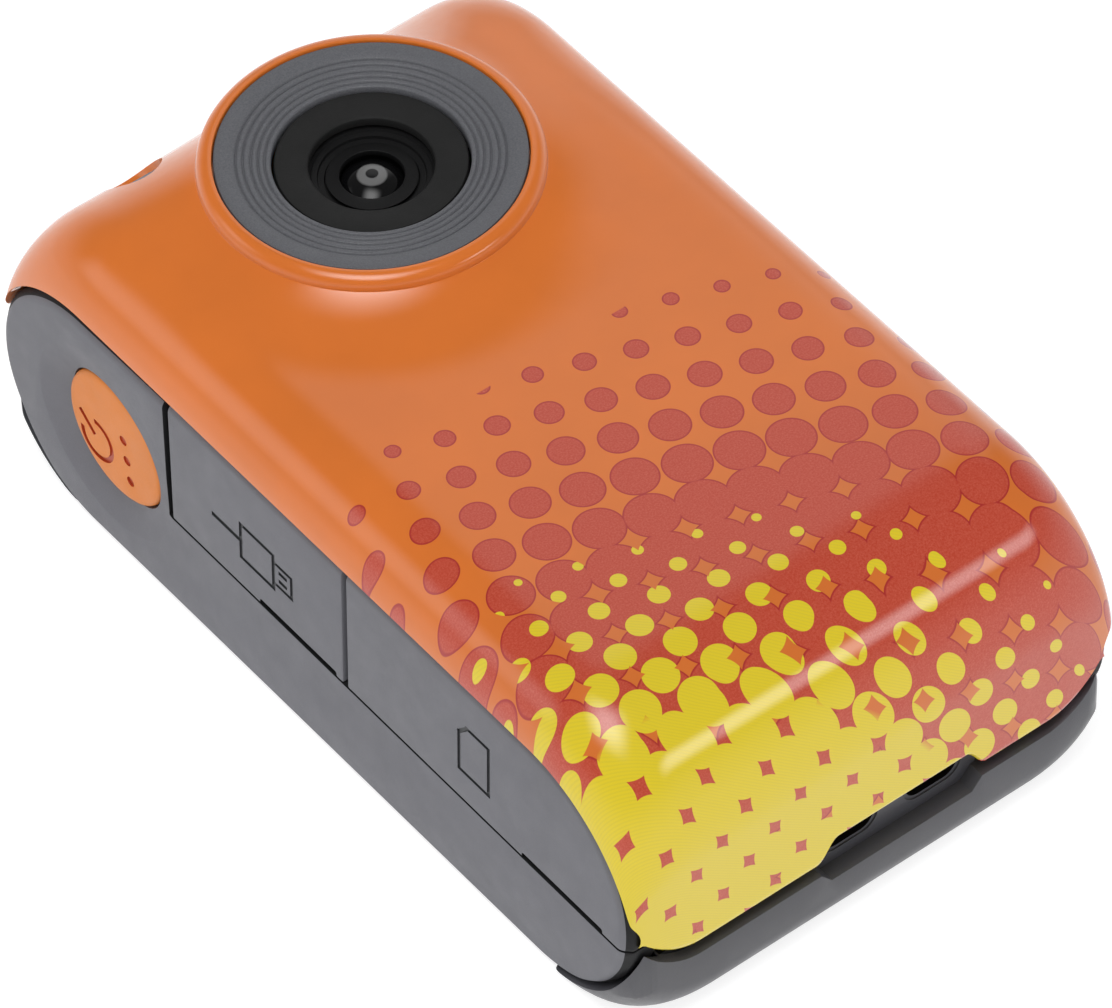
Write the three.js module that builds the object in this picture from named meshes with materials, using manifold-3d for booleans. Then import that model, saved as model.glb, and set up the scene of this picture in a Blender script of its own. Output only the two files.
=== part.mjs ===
// Small action camera lying on its back: lens up (+Z), lens end towards +Y,
// power button and port flaps on the -X side. All sizes are in millimetres.
import * as THREE from "three";
import { mergeVertices } from "three/addons/utils/BufferGeometryUtils.js";
import Module from "manifold-3d";

const wasm = await Module();
wasm.setup();

// ---------- driving dimensions ----------
const WIDTH = 43.3; // across the two side panels
const THICKNESS = 26.7; // back face to the flat front face
const PANEL_R = 10.6; // end radius of a side panel's outline
const PANEL_Y = 25.5; // centres of those end arcs, +Y and -Y
const PANEL_Z = 10.9; // height of those centres
const END_BULGE = 0.55; // how far the ends crown past the side panels
const FRONT_ROUND = 5.8; // width of the rounded long front edges
const REAR_ROUND = 7.5; // width over which the rear corners round off
const END_R = 10.9; // front radius of both ends
const REAR_R = 2.9; // rear radius of both ends
const WALL = 1.6;
const SIDE_WALL_X = 17.3; // inner face of the wall behind each side panel
const RECESS_X = 18.75; // seat of the side panels
const PANEL_BACK_X = 18.95; // inner face of the side panels
const PANEL_BEVEL = 0.7;
const GAP = 0.3; // clearance between separate mouldings
const RIM_Z = 6.0; // top of the rear cover's rim
const SHELL_Z = 7.2; // lower edge of the front shell

const LENS_Y = 19.7; // lens axis
const RING_R = 11.2; // grey trim ring
const RING_Z = 29.3; // its outer edge
const LIP_Z = 29.5; // top of the moulded collar round it
const COLLAR_R = 13.3; // outer radius of the collar
const LENS_BORE = 8.3; // radius of the hole behind the trim ring

const FLAP_SPLIT_Z = 9.4; // line between the flaps and the fixed strip of the panel
const FLAP_FLOOR_X = 19.9; // floor of the pocket behind the flaps
const USB_FLAP_Y = [-4.5, 16.0]; // seams at either end of the USB flap
const SEAM = 0.25; // half the gap at a flap's seam

const POWER_Y = 22.95;
const POWER_Z = 11.45;
const POWER_R = 5.55;
const POWER_STEM_Z = 9.85; // its plunger meets a switch under the main board
const POWER_STEM_R = 1.6;
const SHUTTER_X = -8.5;
const SHUTTER_Z = 19.3;
const SHUTTER_R = 1.9;

const USB_PORT = { y: [1.4, 10.0], z: [12.7, 16.2] }; // openings behind the flaps
const CARD_PORT = { y: [-27.3, -14.7], z: [12.7, 15.2] };
const PORT_DEPTH_X = 15; // inner end of those openings

const BOARD_Z = [12.0, 13.0]; // main board
const KEY_BOARD_Z = [4.2, 5.0];
const KEY_Y = -13;
const KEY_X = { menu_key: -10.5, up_key: 0, down_key: 10.5 };
const KEY_R = 2.7;
const SCREEN_Y = 12;
const SCREEN = [34, 28.5];
const SCREEN_RECESS = 1.1; // depth of the window's seat
const SCREEN_LEDGE = 2; // width of the ledge it is glued to
const SPEAKER_Y = -26;
const SPEAKER_HOLE_R = 0.7;
const SPEAKER_PITCH = 2.4;
const MICROPHONE_XY = [14.5, -19];
const SCREW_XY = [15, 31];
const POST_R = 2.2; // screw posts
const PILOT_R = 1.05; // holes in the posts
const SCREW_HEAD_R = 1.85;
const BOARD_SCREWS = [[-13, -8], [13, 6]];
const STRAP_X = 2.3; // middle of the strap window in the lower end
const STRAP_W = 13.4;
const STRAP_Z = [4.9, 9.1];

// ---------- materials ----------
const finish = (color, roughness, metalness = 0) =>
  new THREE.MeshStandardMaterial({ color, roughness, metalness });
const ORANGE = finish(0xde7d3c, 0.25);
const GREY = finish(0x737378, 0.7);
const DARK = finish(0x45454a, 0.45);
const BLACK = finish(0x141416, 0.5);
const GLASS = finish(0x202830, 0.05);
const BOARD = finish(0x1e5a36, 0.6);
const STEEL = finish(0xb8babd, 0.35, 1);
const SILVER_FOIL = finish(0xa9adb2, 0.45, 0.6);

// ---------- solids from three.js geometry ----------
function solid(geometry) {
  const flat = geometry.index ? geometry.toNonIndexed() : geometry.clone();
  flat.deleteAttribute("normal");
  flat.deleteAttribute("uv");
  const merged = mergeVertices(flat, 1e-4);
  const triVerts = new Uint32Array(merged.index.array);
  const vertProperties = merged.attributes.position.array;
  const made = new wasm.Manifold(new wasm.Mesh({ numProp: 3, vertProperties, triVerts }));
  if (made.volume() > 0) return made;
  triVerts.reverse();
  return new wasm.Manifold(new wasm.Mesh({ numProp: 3, vertProperties, triVerts }));
}

function geometryOf(body) {
  const mesh = body.getMesh();
  const points = [];
  for (const v of mesh.triVerts) {
    const at = v * mesh.numProp;
    points.push(...mesh.vertProperties.subarray(at, at + 3));
  }
  const geometry = new THREE.BufferGeometry();
  geometry.setAttribute("position", new THREE.Float32BufferAttribute(points, 3));
  geometry.computeVertexNormals();
  return geometry;
}

const join = (first, ...rest) => rest.reduce((sum, body) => sum.add(body), first);
const cut = (body, ...tools) => tools.reduce((left, tool) => left.subtract(tool), body);

function box(x0, x1, y0, y1, z0, z1) {
  const geometry = new THREE.BoxGeometry(x1 - x0, y1 - y0, z1 - z0);
  geometry.translate((x0 + x1) / 2, (y0 + y1) / 2, (z0 + z1) / 2);
  return solid(geometry);
}

// A cylinder along an axis ("x", "y" or "z") from one coordinate on it to another.
function rod(axis, radius, from, to, a, b, sides = 24, radiusAtEnd = radius) {
  const geometry = new THREE.CylinderGeometry(radiusAtEnd, radius, to - from, sides);
  geometry.translate(0, (from + to) / 2, 0);
  if (axis === "z") geometry.rotateX(Math.PI / 2).translate(a, b, 0);
  if (axis === "x") geometry.rotateZ(-Math.PI / 2).translate(0, a, b);
  if (axis === "y") geometry.translate(a, 0, b);
  return solid(geometry);
}

// A profile of [radius, z] pairs turned about a vertical axis through (x, y).
function turned(profile, x, y, sides = 48) {
  const points = profile.map(([r, z]) => new THREE.Vector2(r, z));
  const geometry = new THREE.LatheGeometry(points, sides);
  geometry.rotateX(Math.PI / 2).translate(x, y, 0);
  return solid(geometry);
}

// A ring whose [radius, z] outline is closed.
const ringOf = (outline, x, y, sides) => turned([...outline, outline[0]], x, y, sides);

function roundedRect(x0, x1, y0, y1, r) {
  const shape = new THREE.Shape();
  shape.absarc(x1 - r, y1 - r, r, 0, Math.PI / 2);
  shape.absarc(x0 + r, y1 - r, r, Math.PI / 2, Math.PI);
  shape.absarc(x0 + r, y0 + r, r, Math.PI, 1.5 * Math.PI);
  shape.absarc(x1 - r, y0 + r, r, 1.5 * Math.PI, 2 * Math.PI);
  return shape;
}

function prismZ(shape, z0, z1, curveSegments = 4) {
  const settings = { depth: z1 - z0, bevelEnabled: false, curveSegments };
  const geometry = new THREE.ExtrudeGeometry(shape, settings);
  geometry.translate(0, 0, z0);
  return solid(geometry);
}

// Turns a shape drawn in (y, z) and extruded along local z into one that runs along X.
const ALONG_X = new THREE.Matrix4().makeBasis(
  new THREE.Vector3(0, 1, 0),
  new THREE.Vector3(0, 0, 1),
  new THREE.Vector3(1, 0, 0),
);

function prismX(shape, x0, x1, bevel = 0, curveSegments = 5) {
  const settings = { depth: x1 - x0 - bevel, bevelEnabled: bevel > 0, curveSegments };
  Object.assign(settings, { bevelThickness: bevel, bevelSize: bevel, bevelOffset: -bevel, bevelSegments: 1 });
  const geometry = new THREE.ExtrudeGeometry(shape, settings).applyMatrix4(ALONG_X);
  geometry.translate(x0, 0, 0);
  if (!bevel) return solid(geometry);
  return solid(geometry).intersect(box(x0, x1, -WIDTH, WIDTH, -WIDTH, WIDTH));
}

// ---------- the outer form ----------
// The body is lofted along X. At the side panels its section is the panels' own outline,
// and it swells to the full front height and square rear edges towards the middle.
const swell = (x, width) => {
  const u = Math.max(0, (Math.abs(x) - (WIDTH / 2 - width)) / width);
  return Math.sqrt(Math.max(0, 1 - u * u));
};

function sectionAt(x, inset = 0, arcSteps = 5) {
  const front = swell(x, FRONT_ROUND);
  const rear = swell(x, REAR_ROUND);
  const mix = (a, b, t) => a + (b - a) * t;
  const half = PANEL_Y + PANEL_R + END_BULGE * front - inset;
  const top = mix(PANEL_Z + PANEL_R, THICKNESS, front) - inset;
  const bottom = mix(PANEL_Z - PANEL_R, 0, rear) + inset;
  const frontR = mix(PANEL_R, END_R, front) - inset;
  const rearR = Math.max(mix(PANEL_R, REAR_R, rear) - inset, 0.5);
  const corners = [
    [half - frontR, top - frontR, frontR, 0],
    [frontR - half, top - frontR, frontR, 1],
    [rearR - half, bottom + rearR, rearR, 2],
    [half - rearR, bottom + rearR, rearR, 3],
  ];
  const ring = [];
  for (const [y, z, r, quarter] of corners)
    for (let k = 0; k <= arcSteps; k++) {
      const angle = ((quarter + k / arcSteps) * Math.PI) / 2;
      ring.push([x, y + r * Math.cos(angle), z + r * Math.sin(angle)]);
    }
  return ring;
}

// Skins a list of equal rings and closes both ends with fans.
function skin(rings) {
  const n = rings[0].length;
  const positions = rings.flat(2);
  const indices = [];
  for (let i = 0; i + 1 < rings.length; i++)
    for (let k = 0; k < n; k++) {
      const a = i * n + k;
      const b = i * n + ((k + 1) % n);
      indices.push(a, b, a + n, b, b + n, a + n);
    }
  const last = (rings.length - 1) * n;
  for (let k = 1; k + 1 < n; k++) indices.push(0, k + 1, k, last, last + k, last + k + 1);
  const geometry = new THREE.BufferGeometry();
  geometry.setAttribute("position", new THREE.Float32BufferAttribute(positions, 3));
  geometry.setIndex(indices);
  return solid(geometry);
}

function outerForm() {
  const steps = 6;
  const half = [];
  for (let k = 0; k <= steps; k++)
    half.push(WIDTH / 2 - REAR_ROUND * (1 - Math.cos((k / steps) * (Math.PI / 2))));
  const xs = [...half.map((x) => -x), ...half.slice().reverse()];
  return skin(xs.map((x) => sectionAt(x)));
}

function cavity() {
  const section = sectionAt(0, WALL);
  return skin([-SIDE_WALL_X, SIDE_WALL_X].map((x) => section.map(([, y, z]) => [x, y, z])));
}

function panelOutline(offset = 0) {
  const r = PANEL_R + offset;
  const shape = new THREE.Shape();
  shape.absarc(PANEL_Y, PANEL_Z, r, -Math.PI / 2, Math.PI / 2);
  shape.absarc(-PANEL_Y, PANEL_Z, r, Math.PI / 2, 1.5 * Math.PI);
  return shape;
}

// The seats of both side panels, with clearance round their edges.
const panelSeats = () =>
  join(
    prismX(panelOutline(GAP), RECESS_X, WIDTH, 0, 7),
    prismX(panelOutline(GAP), -WIDTH, -RECESS_X, 0, 7),
  );

const strapWindow = () =>
  prismZ(roundedRect(STRAP_X - STRAP_W / 2, STRAP_X + STRAP_W / 2, -40, -34.8, 0.6), ...STRAP_Z);

const screwPlaces = () => {
  const [x, y] = SCREW_XY;
  return [[-x, -y], [x, -y], [x, y], [-x, y]];
};

// One upright cylinder at each screw place.
const atScrews = (radius, z0, z1) => screwPlaces().map(([x, y]) => rod("z", radius, z0, z1, x, y, 12));

// Openings in the side wall for the two sockets and for the power button's plunger.
const sideOpenings = () => [
  box(-WIDTH, -PORT_DEPTH_X, ...USB_PORT.y, ...USB_PORT.z),
  box(-WIDTH, -PORT_DEPTH_X, ...CARD_PORT.y, ...CARD_PORT.z),
  rod("x", POWER_STEM_R + 0.5, -WIDTH, -PORT_DEPTH_X, POWER_Y, POWER_STEM_Z, 16),
];

// ---------- case ----------
// The collar stands on the shell's front and end, and seats the trim ring inside its lip.
function collar() {
  const seat = RING_R + GAP;
  const outline = [
    [LENS_BORE, 21.5],
    [COLLAR_R, 21.5],
    [COLLAR_R, 28.2],
    [COLLAR_R - 0.4, 29.2],
    [COLLAR_R - 1.0, LIP_Z],
    [seat, LIP_Z - 0.2],
    [seat, 27.2],
    [LENS_BORE, 27.2],
  ];
  return ringOf(outline, 0, LENS_Y).subtract(cavity());
}

function frontShell() {
  const above = box(-WIDTH, WIDTH, -WIDTH, WIDTH, SHELL_Z, WIDTH);
  const solidUnderLens = rod("z", 9.8, 20.5, 30, 0, LENS_Y, 32);
  const posts = atScrews(POST_R, SHELL_Z, 24).map((post) => post.intersect(outerForm()));
  const hollow = outerForm().subtract(cavity().subtract(solidUnderLens));
  return cut(
    join(hollow, collar(), ...posts).intersect(above),
    rod("z", LENS_BORE, 10, 40, 0, LENS_Y, 48),
    panelSeats(),
    strapWindow(),
    rod("y", SHUTTER_R + 0.25, 30, 40, SHUTTER_X, SHUTTER_Z, 20),
    ...sideOpenings(),
    ...atScrews(PILOT_R, 0, 13),
  );
}

// A rounded rectangle concentric with the screen and larger by an offset all round.
function screenOutline(offset, r) {
  const [w, h] = SCREEN;
  const [x, y] = [w / 2 + offset, h / 2 + offset];
  return roundedRect(-x, x, SCREEN_Y - y, SCREEN_Y + y, r);
}

// Places of the speaker's holes: one in the middle and six round it.
function speakerPlaces() {
  const places = [[0, SPEAKER_Y]];
  for (let k = 0; k < 6; k++) {
    const angle = (k * Math.PI) / 3;
    places.push([SPEAKER_PITCH * Math.cos(angle), SPEAKER_Y + SPEAKER_PITCH * Math.sin(angle)]);
  }
  return places;
}

function rearCover() {
  const below = box(-WIDTH, WIDTH, -WIDTH, WIDTH, -1, RIM_Z);
  const shell = join(outerForm().subtract(cavity()), ...atScrews(POST_R, 0.5, RIM_Z));
  return cut(
    shell.intersect(below),
    panelSeats(),
    strapWindow(),
    prismZ(screenOutline(0.2, 1.7), -1, SCREEN_RECESS),
    prismZ(screenOutline(-SCREEN_LEDGE, 0.8), -1, 3),
    ...atScrews(SCREW_HEAD_R + 0.25, -1, 1.3),
    ...atScrews(PILOT_R, 0, 8),
    ...Object.values(KEY_X).map((x) => rod("z", KEY_R + 0.2, -1, 3, x, KEY_Y, 20)),
    ...speakerPlaces().map(([x, y]) => rod("z", SPEAKER_HOLE_R, -1, 3, x, y, 8)),
    rod("z", 0.5, -1, 3, ...MICROPHONE_XY, 8),
  );
}

// Black seal seen in the groove between the two shells.
function gasket() {
  const outer = prismZ(roundedRect(-18.5, 18.5, -35.85, 35.85, 0.8), RIM_Z + 0.05, SHELL_Z - 0.05);
  const inner = prismZ(roundedRect(-17.4, 17.4, -34.9, 34.9, 0.6), RIM_Z - 1, SHELL_Z + 1);
  const half = STRAP_W / 2 + 1.6;
  const anchorSpace = box(STRAP_X - half, STRAP_X + half, -40, -30, 0, 20);
  return cut(outer, inner, anchorSpace, ...atScrews(POST_R + GAP, 0, 30));
}

// Moulded insert with two pockets that meet behind a post, for a wrist cord.
function strapAnchor() {
  const half = STRAP_W / 2;
  const [low, high] = STRAP_Z;
  const body = box(STRAP_X - half - 1.2, STRAP_X + half + 1.2, -34.75, -31.4, 3.4, 10.6);
  const nose = box(STRAP_X - half + GAP, STRAP_X + half - GAP, -35.6, -34.7, low + GAP, high - GAP);
  const pocket = (x0, x1, y0) => box(STRAP_X + x0, STRAP_X + x1, y0, -32.6, low + 0.9, high - 0.6);
  return cut(join(body, nose), pocket(-6.2, -1.6, -36), pocket(1.6, 6.2, -36), pocket(-4, 4, -33.9));
}

function caseScrew(x, y) {
  const head = rod("z", SCREW_HEAD_R, 0.25, 1.15, x, y, 12);
  const slot = (a, b) => box(x - a, x + a, y - b, y + b, 0, 0.6);
  return cut(join(head, rod("z", 0.8, 1.1, 12, x, y, 12)), slot(1.3, 0.22), slot(0.22, 1.3));
}

// ---------- side panels, flaps and the power button ----------
function sidePanel(side) {
  const plate = prismX(panelOutline(), PANEL_BACK_X, WIDTH / 2, PANEL_BEVEL, 7);
  return side > 0 ? plate : mirrored(plate);
}

// Mirrors a solid across the YZ plane.
function mirrored(body) {
  const geometry = geometryOf(body);
  geometry.scale(-1, 1, 1);
  return solid(geometry);
}

// A shallow scoop that is deepest towards the panel's round end and dies out at the seam.
function buttonScoop() {
  const scoop = new THREE.CylinderGeometry(8.0, 7.0, 4, 40);
  scoop.rotateZ(Math.PI / 2);
  scoop.rotateZ(-0.105).rotateY(0.105);
  scoop.translate(-WIDTH / 2 - 1.25, POWER_Y + 0.65, POWER_Z - 0.5);
  return solid(scoop);
}

function leftSidePanel() {
  const seam = USB_FLAP_Y[1] + SEAM;
  const pocket = box(-WIDTH, -FLAP_FLOOR_X, -WIDTH, seam, FLAP_SPLIT_Z, WIDTH);
  const buttonHole = rod("x", POWER_R + 0.2, -WIDTH, -19.4, POWER_Y, POWER_Z, 40);
  return cut(sidePanel(-1), pocket, buttonScoop(), buttonHole, ...sideOpenings());
}

// A flap is the upper strip of the panel between two seams, with a nail slit at its free end.
function flap(yLow, yHigh, slitY) {
  const strip = box(-WIDTH, -FLAP_FLOOR_X - GAP, yLow, yHigh, FLAP_SPLIT_Z + 0.15, WIDTH);
  const slit = box(-WIDTH, -WIDTH / 2 + 0.7, slitY, slitY + 8.9, FLAP_SPLIT_Z, FLAP_SPLIT_Z + 0.5);
  return sidePanel(-1).intersect(strip).subtract(slit);
}

const usbFlap = () => flap(USB_FLAP_Y[0] + SEAM, USB_FLAP_Y[1] - SEAM, USB_FLAP_Y[0] + 1.0);
const cardFlap = () => flap(-WIDTH, USB_FLAP_Y[0] - SEAM, -33.4);

function powerButton() {
  const face = WIDTH / 2 - 0.25;
  const back = -19.95;
  const cap = rod("x", POWER_R, -face + 0.3, back, POWER_Y, POWER_Z, 40);
  const edge = rod("x", POWER_R - 0.3, -face, -face + 0.31, POWER_Y, POWER_Z, 40, POWER_R);
  const stem = rod("x", POWER_STEM_R, back - 0.1, -15.9, POWER_Y, POWER_STEM_Z, 16);
  return join(cap, edge, stem);
}

function shutterButton() {
  const cap = rod("y", SHUTTER_R, 31.5, 36.6, SHUTTER_X, SHUTTER_Z, 20);
  const flange = rod("y", 2.7, 30.8, 31.6, SHUTTER_X, SHUTTER_Z, 20);
  const slope = new THREE.BoxGeometry(12, 4, 12).rotateX(-0.32);
  slope.translate(SHUTTER_X, 37.2, SHUTTER_Z);
  return join(cap.subtract(solid(slope)), flange);
}

// ---------- lens ----------
// A ring round the lens axis.
const lensRing = (outline, sides) => ringOf(outline, 0, LENS_Y, sides);

function trimRing() {
  const inner = 7.15;
  const face = [[inner, 28.9], [9.6, 29.14], [RING_R, RING_Z]];
  const back = [[RING_R, 27.5], [8.5, 27.5], [8.5, 28.0], [inner, 28.0]];
  return lensRing([...face, ...back], 48);
}

function lensBezel() {
  const face = [[4.6, 28.45], [6.6, 28.75], [7.0, 28.6]];
  const skirt = [[7.0, 25.0], [6.3, 25.0], [6.3, 27.7], [4.6, 27.7]];
  return lensRing([...face, ...skirt], 40);
}

function lensBarrel() {
  const funnel = [[2.6, 26.6], [4.3, 27.5], [6.0, 27.5]];
  const tube = [[6.0, 17.2], [3.4, 17.2], [3.4, 23.5], [2.6, 23.5]];
  return lensRing([...funnel, ...tube], 36);
}

function retainingRing() {
  const outer = [[2.65, 26.9], [3.3, 27.5], [3.3, 27.95]];
  const inner = [[2.5, 27.95], [2.3, 27.5], [2.3, 26.9]];
  return lensRing([...outer, ...inner], 32);
}

function frontElement() {
  const profile = [[0, 24.2], [2.25, 24.2], [2.25, 26.9]];
  const sphereR = 3.4;
  const centre = 27.75 - sphereR;
  for (let k = 0; k <= 5; k++) {
    const angle = 0.72 * (1 - k / 5);
    profile.push([sphereR * Math.sin(angle), centre + sphereR * Math.cos(angle)]);
  }
  return turned(profile, 0, LENS_Y, 24);
}

const rearElement = () => rod("z", 3.0, 18.0, 20.4, 0, LENS_Y, 24);
const irFilter = () => box(-3.6, 3.6, LENS_Y - 3.6, LENS_Y + 3.6, 15.3, 15.7);
const imageSensor = () => box(-3.2, 3.2, LENS_Y - 3.2, LENS_Y + 3.2, BOARD_Z[1], BOARD_Z[1] + 1.1);

function lensHolder() {
  const base = box(-7.2, 7.2, LENS_Y - 7.2, LENS_Y + 7.2, BOARD_Z[1], 16.6);
  const tube = rod("z", 7.2, 16.5, 21.5, 0, LENS_Y, 32);
  return cut(
    join(base, tube),
    rod("z", 6.1, 16.4, 30, 0, LENS_Y, 36),
    box(-3.9, 3.9, LENS_Y - 3.9, LENS_Y + 3.9, 10, 15.8),
    rod("z", 3.3, 15, 17, 0, LENS_Y, 24),
  );
}

// ---------- electronics ----------
function mainBoard() {
  const plate = prismZ(roundedRect(-16.9, 16.9, -34.0, 34.6, 1.5), ...BOARD_Z);
  const [low, high] = BOARD_Z;
  const holes = BOARD_SCREWS.map(([x, y]) => rod("z", 1.2, low - 1, high + 1, x, y, 12));
  return cut(plate, ...atScrews(POST_R + 0.4, 0, 30), ...holes);
}

function usbSocket() {
  const [, z] = BOARD_Z;
  const body = box(-18.4, -12.6, 2.0, 9.4, z, z + 2.7);
  const mouth = box(-19, -13.4, 2.5, 8.9, z + 0.5, z + 2.2);
  return cut(body, mouth).add(box(-17.6, -13, 4.0, 7.4, z + 1.2, z + 1.6));
}

function cardSocket() {
  const [, z] = BOARD_Z;
  const mouth = box(-19, -5.0, -26.4, -15.6, z + 0.5, z + 1.3);
  return box(-17.9, -4.0, -26.8, -15.2, z, z + 1.9).subtract(mouth);
}

// A tactile switch: a square can with a short round plunger along one axis.
function tactSwitch(x, y, z, axis, toward) {
  const [wide, deep, plunger] = [2.1, 0.75, 0.3];
  const half = ["x", "y", "z"].map((name) => (name === axis ? deep : wide));
  const [hx, hy, hz] = half;
  const can = box(x - hx, x + hx, y - hy, y + hy, z - hz, z + hz);
  const along = { x, y, z }[axis];
  const across = { x: [y, z], y: [x, z], z: [x, y] }[axis];
  const tip = along + toward * (deep + plunger);
  return can.add(rod(axis, 1.0, Math.min(along, tip), Math.max(along, tip), ...across, 12));
}

const shutterBoard = () => box(SHUTTER_X - 4, SHUTTER_X + 2.1, 27.4, 28.2, 14.2, 21.9);
const processor = () => box(-2, 8, -4, 6, BOARD_Z[1], BOARD_Z[1] + 1.0);
const battery = () => prismZ(roundedRect(-15.2, 15.2, -28.2, -1.0, 1.2), 5.6, 11.4);
const lcdModule = () => box(-16.6, 16.6, SCREEN_Y - 14.4, SCREEN_Y + 14.4, 1.75, 4.1);
const keyBoard = () => box(-16.5, 16.5, -20.5, -7.5, ...KEY_BOARD_Z);
const microphone = () => rod("z", 1.8, 2.6, 4.15, ...MICROPHONE_XY, 16);
const screenWindow = () => prismZ(screenOutline(0, 1.5), 0.1, SCREEN_RECESS - 0.1);

// A round can, open towards the holes in the rear cover.
function speaker() {
  const y = SPEAKER_Y - 0.2;
  return rod("z", 5.2, 1.8, 4.6, 0, y, 28).subtract(rod("z", 4.2, 1.0, 2.4, 0, y, 20));
}

function rearKey(x) {
  const edge = rod("z", KEY_R - 0.3, 0.25, 0.5, x, KEY_Y, 20, KEY_R);
  const cap = rod("z", KEY_R, 0.49, 1.8, x, KEY_Y, 20);
  return join(edge, cap, rod("z", KEY_R + 0.6, 1.65, 1.98, x, KEY_Y, 20));
}

// Keys' switches stand on the key board and point down at the keys.
const keySwitch = (x) => tactSwitch(x, KEY_Y, KEY_BOARD_Z[0] - 0.75, "z", -1);

function boardScrew(x, y) {
  const [low, high] = BOARD_Z;
  const head = rod("z", 1.8, high + 0.02, high + 0.9, x, y, 12);
  return head.add(rod("z", 0.9, low - 0.5, high + 0.1, x, y, 12));
}

// ---------- the assembly ----------
const camera = new THREE.Group();

function place(name, body, material, group = camera) {
  const geometry = geometryOf(body);
  const { x, y, z } = group.position;
  geometry.translate(-x, -y, -z);
  geometry.computeVertexNormals();
  const mesh = new THREE.Mesh(geometry, material);
  mesh.name = name;
  group.add(mesh);
}

// A group whose origin is the moving piece's own pivot or centre.
function movingGroup(x, y, z) {
  const group = new THREE.Group();
  group.position.set(x, y, z);
  camera.add(group);
  return group;
}

place("front_shell", frontShell(), ORANGE);
place("rear_cover", rearCover(), DARK);
place("shell_gasket", gasket(), BLACK);
place("strap_anchor", strapAnchor(), BLACK);
place("left_side_panel", leftSidePanel(), GREY);
place("right_side_panel", sidePanel(1), GREY);

const hingeX = -WIDTH / 2 + 0.05;
const usbHinge = movingGroup(hingeX, USB_FLAP_Y[1] - SEAM, 0);
const cardHinge = movingGroup(hingeX, USB_FLAP_Y[0] - SEAM, 0);
place("usb_flap", usbFlap(), GREY, usbHinge);
place("card_flap", cardFlap(), GREY, cardHinge);
place("power_button", powerButton(), ORANGE, movingGroup(-WIDTH / 2, POWER_Y, POWER_Z));
place("shutter_button", shutterButton(), GREY, movingGroup(SHUTTER_X, 36, SHUTTER_Z));

place("lens_trim_ring", trimRing(), GREY);
place("lens_bezel", lensBezel(), BLACK);
place("lens_barrel", lensBarrel(), BLACK);
place("lens_retaining_ring", retainingRing(), BLACK);
place("lens_front_element", frontElement(), GLASS);
place("lens_rear_element", rearElement(), GLASS);
place("lens_holder", lensHolder(), BLACK);
place("ir_filter", irFilter(), GLASS);
place("image_sensor", imageSensor(), BLACK);

place("main_board", mainBoard(), BOARD);
place("processor", processor(), BLACK);
place("usb_socket", usbSocket(), STEEL);
place("card_socket", cardSocket(), STEEL);
place("power_switch", tactSwitch(-14.2, POWER_Y, POWER_STEM_Z, "x", -1), STEEL);
place("shutter_board", shutterBoard(), BOARD);
place("shutter_switch", tactSwitch(SHUTTER_X, 28.95, SHUTTER_Z, "y", 1), STEEL);
place("battery", battery(), SILVER_FOIL);
place("speaker", speaker(), BLACK);
place("microphone", microphone(), STEEL);
place("key_board", keyBoard(), BOARD);
place("lcd_module", lcdModule(), BLACK);
place("screen_window", screenWindow(), GLASS);

for (const [name, x] of Object.entries(KEY_X)) {
  place(name, rearKey(x), ORANGE, movingGroup(x, KEY_Y, 0));
  place(name + "_switch", keySwitch(x), STEEL);
}
screwPlaces().forEach(([x, y], k) => place("case_screw_" + (k + 1), caseScrew(x, y), STEEL));
BOARD_SCREWS.forEach(([x, y], k) => place("board_screw_" + (k + 1), boardScrew(x, y), STEEL));

export default camera;
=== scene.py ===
import math

import bmesh
import bpy
import numpy as np
from mathutils import Matrix, Vector


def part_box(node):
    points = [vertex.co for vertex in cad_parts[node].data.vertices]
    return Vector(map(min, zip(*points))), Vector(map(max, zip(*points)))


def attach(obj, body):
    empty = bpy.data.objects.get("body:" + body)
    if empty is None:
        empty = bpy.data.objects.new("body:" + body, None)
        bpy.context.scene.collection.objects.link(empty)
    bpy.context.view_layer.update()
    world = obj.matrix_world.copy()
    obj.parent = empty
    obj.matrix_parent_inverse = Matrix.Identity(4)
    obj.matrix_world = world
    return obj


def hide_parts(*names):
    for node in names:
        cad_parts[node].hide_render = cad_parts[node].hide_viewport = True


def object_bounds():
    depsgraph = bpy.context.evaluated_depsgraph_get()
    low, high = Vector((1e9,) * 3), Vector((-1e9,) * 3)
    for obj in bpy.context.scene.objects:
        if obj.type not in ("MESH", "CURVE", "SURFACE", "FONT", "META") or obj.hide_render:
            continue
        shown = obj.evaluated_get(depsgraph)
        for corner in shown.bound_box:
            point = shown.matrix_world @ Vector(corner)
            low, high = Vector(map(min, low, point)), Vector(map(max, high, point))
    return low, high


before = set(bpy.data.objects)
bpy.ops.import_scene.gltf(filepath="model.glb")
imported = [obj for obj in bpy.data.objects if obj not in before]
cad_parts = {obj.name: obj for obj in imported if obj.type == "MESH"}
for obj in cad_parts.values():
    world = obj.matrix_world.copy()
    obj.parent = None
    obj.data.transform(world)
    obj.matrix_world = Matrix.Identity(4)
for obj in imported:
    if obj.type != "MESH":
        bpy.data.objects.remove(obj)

MM = 0.001
SCENE = bpy.context.scene
SCENE.view_settings.view_transform = "Standard"
CAD_LOW, CAD_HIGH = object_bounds()


def box_mm(node):
    """A CAD node's lowest and highest corner in millimetres."""
    return [np.array(corner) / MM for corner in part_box(node)]


def centre_xy(node):
    low, high = box_mm(node)
    return (low + high)[:2] / 2


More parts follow.
